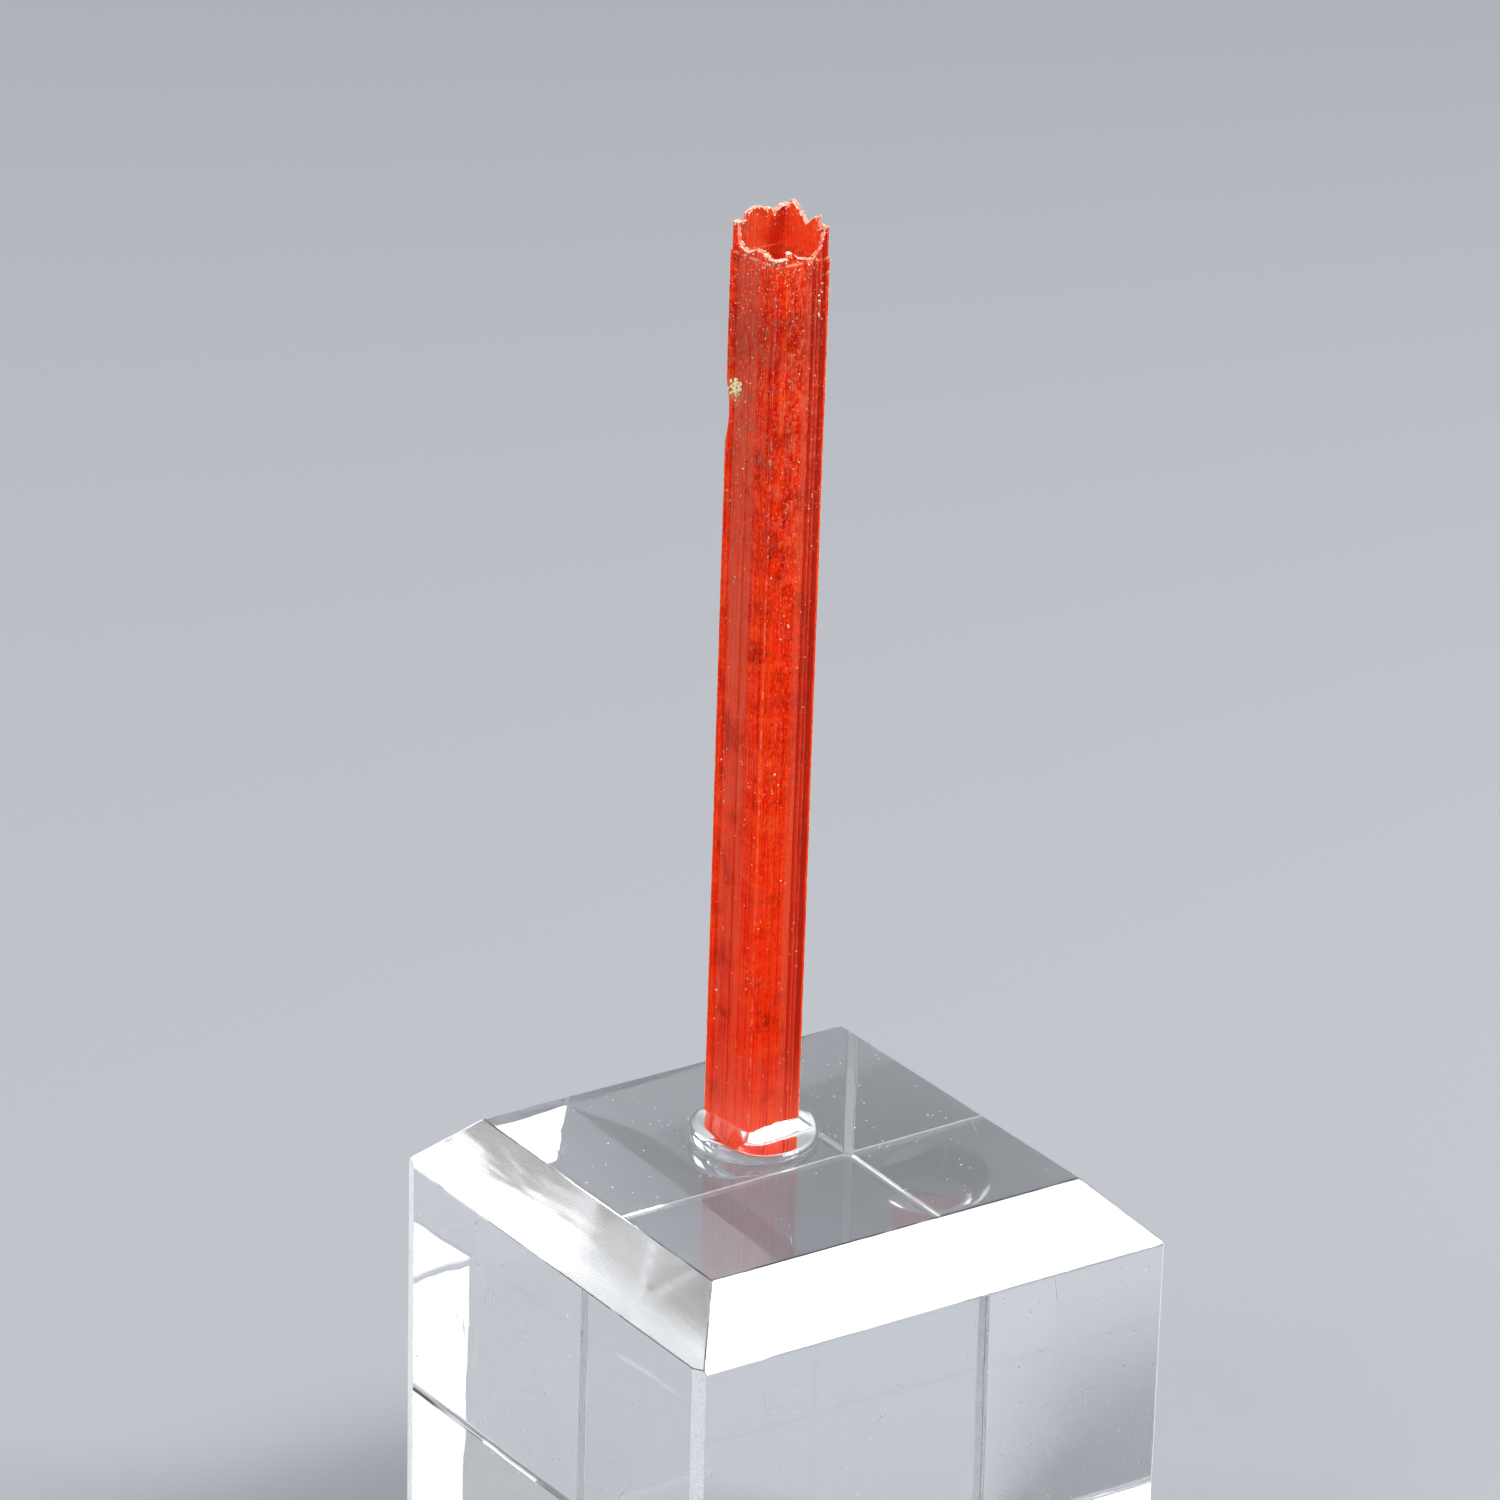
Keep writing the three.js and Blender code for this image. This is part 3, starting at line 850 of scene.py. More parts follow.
speck_places = []
for face, count in SPECK_COUNTS.items():
    length = wall_frame(face)[1]
    for _ in range(count):
        if draw.random() < 0.8:
            height = SPECK_TOP * (1 - draw.random() ** SPECK_CROWDING)
        else:
            height = draw.uniform(SPECK_FOOT, SPECK_TOP)
        size = draw.uniform(*SPECK_SIZE) * (1.9 if draw.random() < 0.08 else 1)
        stretch = draw.uniform(*SPECK_STRETCH) if draw.random() < 0.3 else 1
        along = draw.uniform(SPECK_MARGIN, length - SPECK_MARGIN)
        speck_places.append((on_wall(face, along, 0.0, height), size, stretch))
speck_material = bpy.data.materials.new("pale specks")
specks = scatter("surface_specks", speck_places, 0.2, speck_material)

# %% [markdown]
# A clear block on display gathers dust, and handling leaves smears and hairline scratches. All
# are tiny grains again: small ones for the dust, loose or crowded into a smear, and long drawn
# out ones for the scratches. They lie just under the polished faces, a few thousandths of a
# millimetre down, so that none stands proud of the block.

# %% Dust and scratches on the block
dust_material = bpy.data.materials.new("dust")
BLOCK_HEIGHT = BLOCK_TOP / MM
SIDE = HALF / MM
JUST_UNDER = 0.004
SCRATCH_WIDTH = 0.022
SCRATCH_DEPTH = 0.006
GRAIN_RADIUS = 1.3
DUST_SIZE = (0.012, 0.035)
SMEAR_SIZE = (0.01, 0.02)
DUST_AREA = {"sides": ((-12.2, 12.2), (0.4, 21.0)), "top": ((-9.8, 9.5), (-9.2, 9.2))}
DUST_COUNTS = {"left": 150, "front": 170, "right": 90, "back": 90, "top": 60}
SMEARS = [  # x, height, half length, half width, turn in degrees; all on the front face
    (-8.5, 18.35, 2.4, 0.34, -3), (-3.2, 16.5, 0.62, 0.24, 62), (8.4, 14.7, 0.7, 0.3, 48),
]
SMEAR_GRAINS = 75
SCRATCHES = [  # face, along, height, length, turn in degrees
    ("left", 5.5, 17.2, 1.5, 72), ("left", 4.9, 17.35, 1.6, 78), ("left", -6.3, 12.5, 2.2, 50),
    ("front", 1.6, 18.8, 0.9, 80), ("front", -9.4, 19.2, 1.0, 95), ("front", 5.2, 13.1, 0.7, 20),
    ("right", 2.4, 15.5, 1.4, 64), ("back", -4.2, 11.8, 1.8, 75), ("top", -5.1, -8.2, 0.9, 60),
    ("top", 2.2, -6.6, 0.5, 10),
]


def block_place(face, along, height):
    """A place on the block and the axis that points out of it there, in mm."""
    if face == "top":
        return Vector((along, height, BLOCK_HEIGHT)), Vector((0, 0, 1))
    x, y = OUTWARD[face]
    return Vector((x * SIDE + abs(y) * along, y * SIDE + abs(x) * along, height)), Vector((x, y, 0))


def sunk_grain(place, out, size):
    """A grain's matrix, moved into the block until all of it is just under the surface."""
    sunk = place - out * (GRAIN_RADIUS * size + JUST_UNDER)
    return Matrix.Translation(sunk * MM) @ Matrix.Scale(size, 4)


def dust_on_block():
    made = []
    for face, count in DUST_COUNTS.items():
        along_range, height_range = DUST_AREA["top" if face == "top" else "sides"]
        for _ in range(count):
            along = draw.uniform(*along_range)
            height = draw.uniform(*height_range)
            place, out = block_place(face, along, height)
            size = draw.uniform(*DUST_SIZE) * (1.8 if draw.random() < 0.06 else 1)
            made.append(sunk_grain(place, out, size))
    for along, height, half_length, half_width, turn in SMEARS:
        for _ in range(SMEAR_GRAINS):
            spot = Vector((draw.gauss(0, half_length / 2), draw.gauss(0, half_width / 2)))
            spot.rotate(Matrix.Rotation(math.radians(turn), 2))
            place, out = block_place("front", along + spot.x, height + spot.y)
            made.append(sunk_grain(place, out, draw.uniform(*SMEAR_SIZE)))
    for face, along, height, length, turn in SCRATCHES:
        place, out = block_place(face, along, height)
        facing = out.to_track_quat("Z", "Y").to_matrix().to_4x4()
        spun = Matrix.Rotation(math.radians(turn), 4, "Z")
        thin = Matrix.Diagonal((length / 2, SCRATCH_WIDTH, SCRATCH_DEPTH, 1))
        place -= out * (GRAIN_RADIUS * SCRATCH_DEPTH + JUST_UNDER)
        made.append(Matrix.Translation(place * MM) @ facing @ spun @ thin)
    return made


dust = join_copies("block_dust", seed_grain("dust_seed", 0.25), dust_on_block(), dust_material)

# %% [markdown]
# Every finish below is built from a few procedural patterns. The helpers make one node each, so
# that a finish reads as a list of steps: a pattern, the part of it that counts, and the colour
# that part moves toward.

# %% Helpers for materials
def nodes_of(material):
    material.use_nodes = True
    tree = material.node_tree
    return tree, tree.nodes["Principled BSDF"]


def add(tree, kind, inputs=None, **settings):
    """Makes a node; an input that is given as a socket is linked, and any other value is set."""
    made = tree.nodes.new(kind)
    for name, value in settings.items():
        setattr(made, name, value)
    for name, value in (inputs or {}).items():
        if isinstance(value, bpy.types.NodeSocket):
            tree.links.new(value, made.inputs[name])
        else:
            made.inputs[name].default_value = value
    return made


def math_node(tree, operation, a, b=0.0, clamp=False):
    made = add(tree, "ShaderNodeMath", {0: a, 1: b}, operation=operation, use_clamp=clamp)
    return made.outputs[0]


def product(tree, first, *others):
    """Patterns multiplied together: the result is strong only where all of them are."""
    for other in others:
        first = math_node(tree, "MULTIPLY", first, other)
    return first


def distance(tree, where, point):
    made = add(tree, "ShaderNodeVectorMath", {0: where, 1: point}, operation="DISTANCE")
    return made.outputs["Value"]


def band(tree, value, low, high, soft_low, soft_high):
    """1 between low and high, fading to 0 over the soft widths."""
    rise = add(tree, "ShaderNodeMapRange", {
        "Value": value, "From Min": low - soft_low, "From Max": low,
    }, interpolation_type="SMOOTHSTEP").outputs[0]
    fall = add(tree, "ShaderNodeMapRange", {
        "Value": value, "From Min": high, "From Max": high + soft_high, "To Min": 1.0, "To Max": 0.0,
    }, interpolation_type="SMOOTHSTEP").outputs[0]
    return product(tree, rise, fall)


def blend_colour(tree, share, first, second):
    made = add(tree, "ShaderNodeMix", {0: share, 6: first, 7: second}, data_type="RGBA")
    return made.outputs[2]


def paint(tree, colour, *layers):
    """Moves a colour toward each layer's own, by the layer's pattern times its strength."""
    for target, pattern, strength in layers:
        share = math_node(tree, "MULTIPLY", pattern, strength, clamp=True)
        colour = blend_colour(tree, share, colour, target)
    return colour


def linear(red, green, blue):
    """A colour given as it looks on a screen, 0 to 255, made linear for a shader."""
    def channel(c):
        c /= 255
        return c / 12.92 if c <= 0.04045 else ((c + 0.055) / 1.055) ** 2.4
    return (channel(red), channel(green), channel(blue), 1.0)


def noise(tree, where, scale, detail=2.0, roughness=0.5):
    return add(tree, "ShaderNodeTexNoise", {
        "Vector": where, "Scale": scale, "Detail": detail, "Roughness": roughness,
    }).outputs["Fac"]


def shaped(tree, value, low, high, to_low=0.0, to_high=1.0):
    """Stretches the part of a pattern from low to high over to_low to to_high, and stops there."""
    return add(tree, "ShaderNodeMapRange", {
        "Value": value, "From Min": low, "From Max": high, "To Min": to_low, "To Max": to_high,
    }).outputs[0]


def bump(tree, shader, height, lift, strength=1.0):
    inputs = {"Height": height, "Distance": lift, "Strength": strength}
    made = add(tree, "ShaderNodeBump", inputs)
    tree.links.new(made.outputs[0], shader.inputs["Normal"])


# %% [markdown]
# Clear acrylic is plain glass with a lower index: full transmission and index 1.49. Its look
# comes from what it bends and mirrors, so it needs no colour. The three smears on the front
# face are dull, the milled bevels are a little dull along their cutter marks, and the sawn
# sheet is faintly wavy. The bevels are found by the tilt of their normal. The set adhesive is
# made the same way, but stays glossy where it slopes. The scraped corners are frosted: little
# light goes through, and fine scores run across them.

# %% Clear materials
PER_MM = 1 / MM
ACRYLIC_IOR = 1.49
ADHESIVE_IOR = 1.48
CLEAR_TINT = (0.985, 0.99, 1.0, 1.0)
FROST_TINTS = ((0.7, 0.74, 0.8, 1), (1.0, 1.0, 1.0, 1))
SMEAR_ROUGHNESS = 0.3
MILLED_ROUGHNESS = (0.08, 0.2)
GLOSSY = (0.0, 0.0)
BEVEL_TILT = (0.6, 0.8, 0.1, 0.1)


def smear_pattern(tree, where):
    """1 in the middle of each smear on the block's front face, fading to 0 at its edge."""
    strongest = None
    for x, height, half_length, half_width, turn in SMEARS:
        local = add(tree, "ShaderNodeMapping", {
            "Vector": where,
            "Location": (x * MM, -HALF, height * MM),
            "Rotation": (0, math.radians(-turn), 0),
            "Scale": (half_length * MM, MM, half_width * MM),
        }, vector_type="TEXTURE").outputs[0]
        share = shaped(tree, distance(tree, local, (0, 0, 0)), 0.4, 1.0, 1.0, 0.0)
        strongest = share if strongest is None else math_node(tree, "MAXIMUM", strongest, share)
    return strongest


def stretched(tree, where, across, along):
    inputs = {"Vector": where, "Scale": (across, across, along)}
    return add(tree, "ShaderNodeMapping", inputs).outputs[0]


def clear_finish(name, ior, waves, bevel):
    """Polished clear resin with faint waves; bevel is the least and the most roughness there."""
    material = bpy.data.materials.new(name)
    tree, shader = nodes_of(material)
    where = add(tree, "ShaderNodeTexCoord").outputs["Object"]
    shader.inputs["Base Color"].default_value = CLEAR_TINT
    shader.inputs["Transmission Weight"].default_value = 1.0
    shader.inputs["IOR"].default_value = ior
    streaks = noise(tree, where, 0.9 * PER_MM, 4.0, 0.7)
    smeared = product(tree, smear_pattern(tree, where), shaped(tree, streaks, 0.35, 0.6))
    normal = add(tree, "ShaderNodeNewGeometry").outputs["Normal"]
    tilt = add(tree, "ShaderNodeSeparateXYZ", {0: normal}).outputs["Z"]
    milled = noise(tree, stretched(tree, where, 0.25 * PER_MM, 2.2 * PER_MM), 1.0, 3.0, 0.6)
    milled = product(tree, band(tree, tilt, *BEVEL_TILT), shaped(tree, milled, 0.3, 0.7, *bevel))
    dull = math_node(tree, "MAXIMUM", product(tree, smeared, SMEAR_ROUGHNESS), milled)
    tree.links.new(dull, shader.inputs["Roughness"])
    bump(tree, shader, noise(tree, where, 0.11 * PER_MM, 2.0, 0.5), waves * MM)
    return material


acrylic = clear_finish("acrylic", ACRYLIC_IOR, 0.02, MILLED_ROUGHNESS)
glue = clear_finish("set adhesive", ADHESIVE_IOR, 0.03, GLOSSY)

scraped_acrylic = bpy.data.materials.new("scraped acrylic")
tree, shader = nodes_of(scraped_acrylic)
where = add(tree, "ShaderNodeTexCoord").outputs["Object"]
scored = add(tree, "ShaderNodeMapping", {"Vector": where, "Scale": (1, 1, 6)}).outputs[0]
marks = noise(tree, scored, 6.0 * PER_MM, 3.0, 0.7)
frosted = blend_colour(tree, shaped(tree, marks, 0.4, 0.6), *FROST_TINTS)
tree.links.new(frosted, shader.inputs["Base Color"])
shader.inputs["Transmission Weight"].default_value = 0.2
shader.inputs["IOR"].default_value = ACRYLIC_IOR
tree.links.new(shaped(tree, marks, 0.3, 0.7, 0.35, 0.75), shader.inputs["Roughness"])
bump(tree, shader, marks, 0.04 * MM)

block.data.materials.append(acrylic)
block.data.materials.append(scraped_acrylic)
bead.data.materials.append(glue)
print("clear materials:", acrylic.name, "and", scraped_acrylic.name, "and", glue.name)

# %% [markdown]
# The crystal's colour is read in its own frame, in millimetres, so that bands and streaks keep
# to the faces they are on: a Mapping node of the Texture kind undoes the crystal's lean and
# place. Seven noises are the patterns that all its colours choose from. Most are stretched
# along the prism, and the veils are tilted, as healed cracks inside a crystal are.

# %% Crystal finish, colours and patterns
ORANGE_RED = linear(244, 42, 0)
BRIGHT_RED = linear(255, 76, 12)
DEEP_RED = linear(150, 8, 0)
PALE_GRIT = linear(255, 132, 92)
# The pink and the grey are painted sheen; the grey also colours the grey rust and the hollow's greyer
# left.
PINK_SHEEN = linear(208, 92, 68)
GREY_SHEEN_AND_GRIME = linear(146, 92, 72)
# Painted highlight on the upright edges; also the colour of the pale beads and flecks.
PALE_HIGHLIGHT_AND_FLECK = linear(255, 196, 168)
# Painted light at the crystal's foot.
FOOT_PAINTED_LIGHT = linear(255, 104, 78)
STAIN = linear(206, 146, 96)
# Painted light inside the hollow.
HOLLOW_PAINTED_LIGHT = linear(255, 108, 58)
PATTERNS = {  # cells per mm across, cells per mm along, detail, roughness
    "lines": (12.0, 0.14, 2.0, 0.5),
    "ribs": (3.6, 0.06, 2.0, 0.5),
    "patches": (0.6, 0.42, 4.0, 0.65),
    "grit": (8.0, 6.0, 3.0, 0.7),
    "rusty": (2.6, 1.5, 4.0, 0.7),
    "beads": (3.0, 2.6, 3.0, 0.7),
}
VEIL_TILT = math.radians(24)
VEIL_CELLS = (0.45, 0.45, 1.5)


def crystal_frame(tree):
    """Object coordinates turned into the crystal's own frame, in mm."""
    where = add(tree, "ShaderNodeTexCoord").outputs["Object"]
    made = add(tree, "ShaderNodeMapping", {"Vector": where}, vector_type="TEXTURE")
    made.inputs["Location"].default_value = crystal_place.translation
    made.inputs["Rotation"].default_value = crystal_place.to_euler("XYZ")
    made.inputs["Scale"].default_value = (MM, MM, MM)
    return made.outputs[0]


tree, shader = nodes_of(crystal_material)
part, strip, both, layers = (partial(helper, tree) for helper in (shaped, band, product, paint))
where = crystal_frame(tree)
x, y, z = add(tree, "ShaderNodeSeparateXYZ", {0: where}).outputs[:]
lines, ribs, patches, grit, rusty, beads = (
    noise(tree, stretched(tree, where, across, along), 1.0, detail, roughness)
    for across, along, detail, roughness in PATTERNS.values()
)
tilted = {"Vector": where, "Rotation": (0, VEIL_TILT, 0), "Scale": VEIL_CELLS}
veils = noise(tree, add(tree, "ShaderNodeMapping", tilted).outputs[0], 1.0, 3.0, 0.55)
print("patterns:", *PATTERNS, "veils")

# %% [markdown]
# The body is orange red. Ribs, veils and fine lines go lighter and darker along it, and the
# lines grow stronger with height. A few deep red blotches lie at places read off the photo, a
# dark belt crosses the prism near its top, and grit covers its upper part more than its foot.
# Each layer below says its colour, its pattern, and how far the pattern moves the colour.

# %% Crystal finish, body
BLOTCHES = [  # place on the prism and reach, in mm
    (-1.2, -1.5, 8.6, 0.5), (-0.85, -1.5, 6.3, 0.6), (-0.35, -1.5, 6.6, 0.45), (0.5, -1.5, 22.0, 0.9),
    (-1.4, -0.9, 24.5, 0.8), (-0.2, -1.5, 29.5, 0.9), (-1.4, 1.1, 26.0, 0.7),
]


def ragged_spot(centre, raggedness, core, reach):
    """1 in the core of a spot, fading to 0 at its reach; grit makes its outline ragged."""
    stray = part(grit, 0.3, 0.7, -raggedness, raggedness)
    gap = math_node(tree, "ADD", distance(tree, where, centre), stray)
    return part(gap, core, reach, 1.0, 0.0)


colour = layers(
    ORANGE_RED,
    (DEEP_RED, part(ribs, 0.48, 0.3), 0.32),
    (BRIGHT_RED, part(ribs, 0.52, 0.68), 0.7),
)
for *centre, reach in BLOTCHES:
    colour = layers(colour, (DEEP_RED, ragged_spot(centre, 0.4, 0.2 * reach, reach), 0.45))
lined = part(z, 8.0, 26.0, 0.1, 1.0)
dark_belt = both(strip(z, 38.6, 40.2, 1.0, 0.8), part(grit, 0.35, 0.6))
high_up = part(z, 6.0, 34.0, 0.35, 1.0)
colour = layers(
    colour,
    (BRIGHT_RED, part(veils, 0.53, 0.64), 0.6),
    (DEEP_RED, part(veils, 0.44, 0.34), 0.3),
    (DEEP_RED, both(part(lines, 0.46, 0.3), lined), 0.5),
    (BRIGHT_RED, part(lines, 0.52, 0.7), 0.35),
    (DEEP_RED, part(patches, 0.47, 0.32), 0.75),
    (DEEP_RED, dark_belt, 0.6),
    (DEEP_RED, both(part(grit, 0.48, 0.34), high_up), 0.75),
    (PALE_GRIT, both(part(grit, 0.55, 0.72), high_up), 0.75),
)
print("body colours with", len(BLOTCHES), "blotches:", len(tree.nodes), "nodes so far")

# %% [markdown]
# A greyish pink painted sheen lies on the left face. Higher up, rusty grime is grey on the left and
# pale elsewhere, with darker spots between. One ochre stain lies round the cream grains, and a thin
# patchy painted sheen is spread over the whole crystal.

# %% Crystal finish, painted sheen, rust and stain
STAIN_AT = (-1.5, 1.0, 36.5)

left_side = math_node(tree, "LESS_THAN", x, -1.0)
# The greyish pink on the left face is painted sheen.
sheen = both(
    left_side,
    strip(y, -0.3, 0.85, 0.45, 0.35),
    part(z, 2.0, 24.0, 0.35, 1.0),
    part(patches, 0.34, 0.6, 0.45, 1.0),
    part(lines, 0.3, 0.6, 0.5, 1.0),
)
sheen_colour = blend_colour(tree, part(grit, 0.5, 0.68), PINK_SHEEN, GREY_SHEEN_AND_GRIME)
rust_height = strip(z, 34.0, 43.0, 9.0, 0.2)
rust = both(part(rusty, 0.5, 0.62), rust_height)
# The first layer and the last, thin one over the whole crystal are painted sheen; the rest are rust
# and stain.
colour = layers(
    colour,
    (sheen_colour, sheen, 0.75),
    (GREY_SHEEN_AND_GRIME, both(rust, part(x, 0.0, -1.2, 0.08, 1.0)), 0.5),
    (PALE_GRIT, both(rust, part(x, -1.2, -0.4)), 0.4),
    (DEEP_RED, both(part(rusty, 0.47, 0.37), rust_height), 0.35),
    (STAIN, ragged_spot(STAIN_AT, 0.35, 0.2, 0.75), 0.7),
    (PINK_SHEEN, both(part(patches, 0.5, 0.68), part(lines, 0.4, 0.6)), 0.4),
)
print("with haze, rust and stain:", len(tree.nodes), "nodes so far")

# %% [markdown]
# The wide ledge on the left face ends below in a painted highlight, a bright line, with a band of
# painted shade under it. Two dark grooves with a pale band round them, and a dark strip beside the
# right edge, run down the front face. At its foot the crystal is pinker and lighter: painted light,
# as if the drop sent light into it.

# %% Crystal finish, ledge, grooves and foot
LEDGE_AT = LEDGES["left"][0][2]

on_ledge = both(left_side, strip(y, -1.3, -0.25, 0.05, 0.05))
# Painted highlight above the ledge's foot, painted shade below it.
above = strip(z, LEDGE_AT, LEDGE_AT + 0.05, 0.01, 0.1)
below = strip(z, LEDGE_AT - 0.06, LEDGE_AT - 0.02, 0.5, 0.01)
front_side = math_node(tree, "LESS_THAN", y, -1.2)
wide_groove = strip(x, 0.64, 0.72, 0.05, 0.05)
thin_groove = strip(x, 0.93, 0.96, 0.04, 0.04)
groove = math_node(tree, "MAXIMUM", wide_groove, thin_groove)
# The first two layers are the ledge's painted highlight and shade; the last is painted light at the
# foot.
colour = layers(
    colour,
    (BRIGHT_RED, both(on_ledge, above), 0.7),
    (DEEP_RED, both(on_ledge, below), 0.3),
    (PINK_SHEEN, both(front_side, strip(x, 0.3, 1.35, 0.15, 0.1)), 0.35),
    (DEEP_RED, both(front_side, groove), 0.8),
    (DEEP_RED, both(front_side, strip(x, 1.16, 1.38, 0.06, 0.02)), 0.75),
    (FOOT_PAINTED_LIGHT, part(z, 5.0, 0.8, 0.0, 1.0), 0.6),
)
print("with ledge, grooves and foot:", len(tree.nodes), "nodes so far")

# %% [markdown]
# Inside the hollow the red is lighter, painted light that stands in for light through its thin
# walls, and greyer toward its left. Outside, the upright edges are dotted with a pale painted
# highlight, the line where growth paused is dotted with pale beads, and pale flecks grow larger
# toward the tip. How far a place is from the prism's axis tells the inside from the outside.

# %% Crystal finish, painted light in the hollow and on the edges
WALL_FROM_AXIS = 1.45
EDGE_HIGHLIGHT_REACH = 0.09
FLECKS_PER_MM = 4.5


def corner_highlight(reach):
    """1 close to one of the four upright edges of the prism, 0 away from them."""
    flatten = {0: where, 1: (1, 1, 0)}
    flat = add(tree, "ShaderNodeVectorMath", flatten, operation="MULTIPLY").outputs[0]
    nearest = None
    for corner in prism_corners():
        gap = distance(tree, flat, (corner.x / MM, corner.y / MM, 0))
        nearest = gap if nearest is None else math_node(tree, "MINIMUM", nearest, gap)
    return part(nearest, 0.0, reach, 1.0, 0.0)


wide_x = both(math_node(tree, "ABSOLUTE", x), PRISM_ACROSS / PRISM_ALONG)
spread = math_node(tree, "MAXIMUM", wide_x, math_node(tree, "ABSOLUTE", y))
inside = both(math_node(tree, "LESS_THAN", spread, WALL_FROM_AXIS), part(z, 40.0, 42.0))
outside = math_node(tree, "GREATER_THAN", spread, WALL_FROM_AXIS)
grey_inside = both(inside, part(x, 0.1, -0.9), part(rusty, 0.42, 0.56, 0.2, 1.0))
step_line = both(strip(z, 42.88, 42.96, 0.04, 0.03), outside)
cells = {"Vector": where, "Scale": FLECKS_PER_MM}
flecks = add(tree, "ShaderNodeTexVoronoi", cells).outputs["Distance"]
fleck_size = part(z, 8.0, 38.0, 0.05, 0.15)
# The hollow's lighter red is painted light; the pale dots on the upright edges are painted highlight.
colour = layers(
    colour,
    (HOLLOW_PAINTED_LIGHT, inside, 0.45),
    (GREY_SHEEN_AND_GRIME, grey_inside, 0.7),
    (PALE_HIGHLIGHT_AND_FLECK, both(corner_highlight(EDGE_HIGHLIGHT_REACH), part(beads, 0.48, 0.62)), 0.35),
    (PALE_HIGHLIGHT_AND_FLECK, both(step_line, part(beads, 0.4, 0.55)), 0.5),
    (PALE_HIGHLIGHT_AND_FLECK, math_node(tree, "LESS_THAN", flecks, fleck_size), 0.6),
)
tree.links.new(colour, shader.inputs["Base Color"])
print("with hollow and worn edges:", len(tree.nodes), "nodes so far")

# %% [markdown]
# Most of the light that enters the crystal is scattered inside it, red travelling furthest, and
# a quarter goes straight through. The fine lines also make its gloss uneven. Index and specular
# level are low, because the photo shows soft sheens on the faces and no sharp mirror images.

# %% Crystal finish, light
CROCOITE_IOR = 1.18
CROCOITE_GLOSS = 0.15
SCATTER_RED_GREEN_BLUE = (1.0, 0.2, 0.06)

shader.inputs["IOR"].default_value = CROCOITE_IOR
shader.inputs["Specular IOR Level"].default_value = CROCOITE_GLOSS
shader.inputs["Transmission Weight"].default_value = 0.25
shader.inputs["Subsurface Weight"].default_value = 0.7
shader.inputs["Subsurface Radius"].default_value = SCATTER_RED_GREEN_BLUE
shader.inputs["Subsurface Scale"].default_value = 1.0 * MM
tree.links.new(part(lines, 0.3, 0.75, 0.2, 0.42), shader.inputs["Roughness"])
bump(tree, shader, lines, 0.012 * MM, 0.7)
print("crystal finish has", len(tree.nodes), "nodes")

# %% [markdown]
# The torn edge and everything loose is crumbly: it scatters light instead of letting it
# through, so it looks paler than the crystal it came from. One recipe, with two colours mixed
# by a lumpy pattern, serves the crust, the crumbs, the cream grains, the specks and the dust.

# %% Crust, grains and specks
CRUMB_IOR = 1.6


def crumbly(material, main, other, transmission, grain_scale):
    tree, shader = nodes_of(material)
    lumps = noise(tree, crystal_frame(tree), grain_scale, 4.0, 0.7)
    mixed = blend_colour(tree, shaped(tree, lumps, 0.36, 0.62), main, other)
    tree.links.new(mixed, shader.inputs["Base Color"])
    tree.links.new(shaped(tree, lumps, 0.3, 0.7, 0.25, 0.6), shader.inputs["Roughness"])
    shader.inputs["Transmission Weight"].default_value = transmission
    shader.inputs["IOR"].default_value = CRUMB_IOR
    bump(tree, shader, lumps, 0.03 * MM)
    print(material.name, "lets through", transmission, "of the light")


crumbly(crust_material, linear(240, 72, 34), linear(255, 170, 140), 0.2, 6.0)
crumbly(crumb_material, linear(246, 140, 104), linear(255, 240, 214), 0.1, 2.5)
crumbly(grain_material, linear(226, 196, 120), linear(250, 236, 200), 0.1, 5.0)
crumbly(speck_material, linear(255, 190, 158), linear(255, 240, 222), 0.2, 4.0)
crumbly(dust_material, linear(190, 194, 200), linear(250, 252, 255), 0.1, 2.0)

# %% [markdown]
# Each piece rides on the one body and stands for its solid in the frame.

# %% Pieces into the frame
for piece, slot, node in (
    (block, "acrylic", "acrylic_block"),
    (bead, "adhesive", "adhesive_bead"),
    (crystal, "crocoite", "crystal"),
    (crumbs, "crocoite", None),
    (cream, "crocoite", None),
    (specks, "crocoite", None),
    (dust, "acrylic", None),
):
    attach(piece, "root")
    if node:
        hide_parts(node)
print("pieces in the frame, all on the root body")

# %% [markdown]
# The studio is a pale floor and three softboxes. The key light, up in front on the right, is
# the one that whitens the block's front bevel and the slope of the drop. One behind on the left
# brightens the block's left bevel, and a weak one on the left fills the crystal's left face.
# The surroundings are brighter overhead than at the sides, as in a room with a pale ceiling.

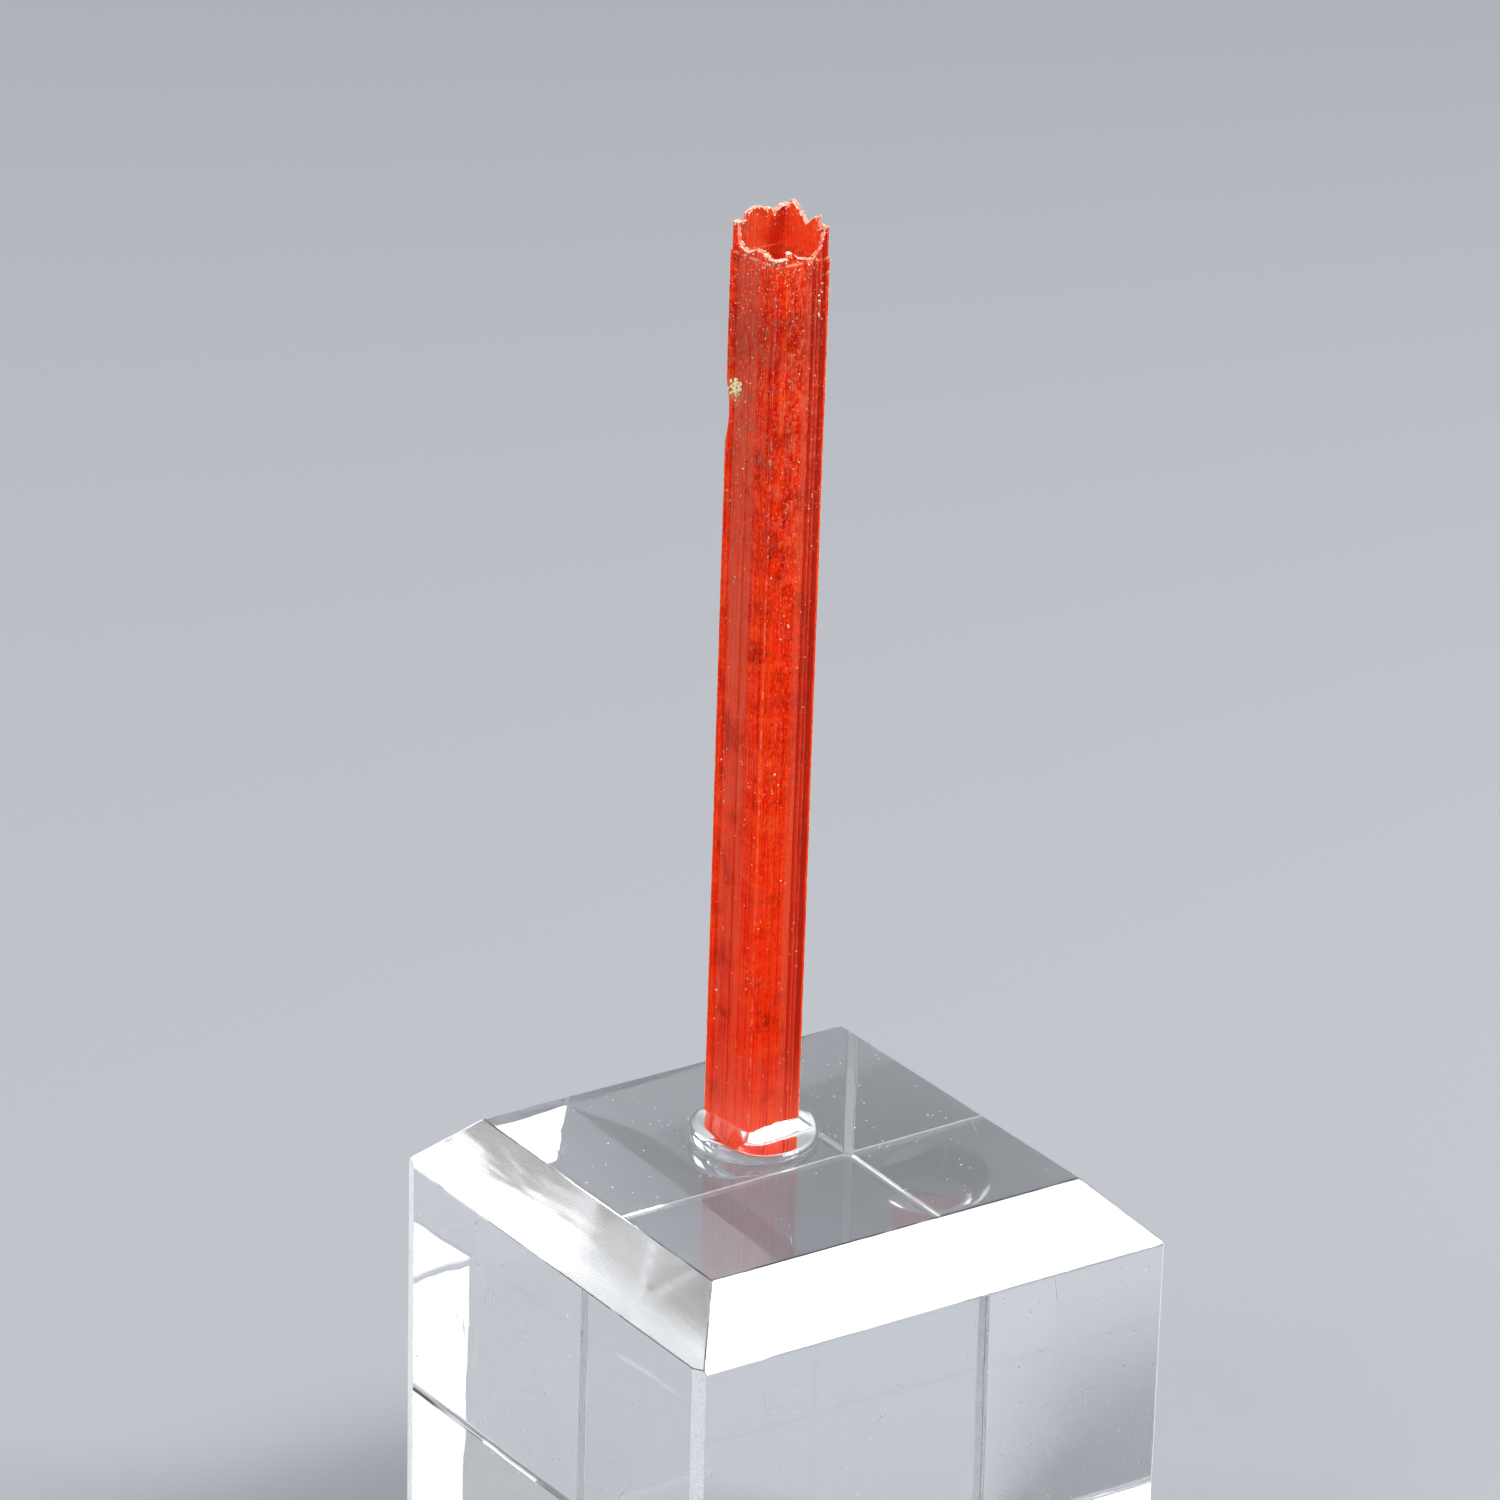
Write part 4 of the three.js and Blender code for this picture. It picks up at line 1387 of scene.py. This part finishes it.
# %% Floor and lights
FLOOR_GAP = 0.03 * MM
FLOOR_SIZE = 4
FLOOR_GREY = linear(140, 142, 146)
FLOOR_ROUGHNESS = 0.7
STUDIO_CENTRE = Vector((0, 0, 30)) * MM
SOFTBOX_DISTANCE = 0.5
SKY_TINT = (0.93, 0.96, 1.0, 1.0)
SKY_GLOW = (0.3, 0.95, 0.3, 1.2)

bpy.ops.object.select_all(action="DESELECT")
bpy.ops.mesh.primitive_plane_add(size=FLOOR_SIZE, location=(0, 0, -FLOOR_GAP))
floor = bpy.context.object
floor.name = "floor"
floor_material = bpy.data.materials.new("pale floor")
tree, shader = nodes_of(floor_material)
shader.inputs["Base Color"].default_value = FLOOR_GREY
shader.inputs["Roughness"].default_value = FLOOR_ROUGHNESS
floor.data.materials.append(floor_material)


def softbox(name, direction, side, radiance):
    """A square area light that faces the specimen; radiance 1 would look plain white."""
    way = Vector(direction).normalized()
    bpy.ops.object.light_add(type="AREA", location=STUDIO_CENTRE + way * SOFTBOX_DISTANCE)
    lamp = bpy.context.object
    lamp.name = name
    lamp.rotation_mode = "QUATERNION"
    lamp.rotation_quaternion = way.to_track_quat("Z", "Y")
    lamp.data.size = side
    lamp.data.energy = radiance * math.pi * side * side
    print("softbox", name, "radiance", radiance)


softbox("key", (0.525, -0.405, 0.748), 0.18, 32)
softbox("back_left", (-0.527, 0.753, 0.394), 0.22, 7)
softbox("left", (-0.75, -0.1, 0.45), 0.3, 3.5)
world = bpy.data.worlds.new("studio")
bpy.context.scene.world = world
world.use_nodes = True
sky = world.node_tree
ray = add(sky, "ShaderNodeTexCoord").outputs["Generated"]
height = add(sky, "ShaderNodeSeparateXYZ", {0: ray}).outputs["Z"]
glow = shaped(sky, height, *SKY_GLOW)
sky.nodes["Background"].inputs["Color"].default_value = SKY_TINT
sky.links.new(glow, sky.nodes["Background"].inputs["Strength"])
bpy.context.scene.view_settings.view_transform = "Standard"

# %% [markdown]
# The bounding box of the imported model is printed. The finer shapes must stay inside the solids
# they stand for.

# %% Sizes and finish
print("cad", [[round(c / MM, 2) for c in corner] for corner in cad_box])
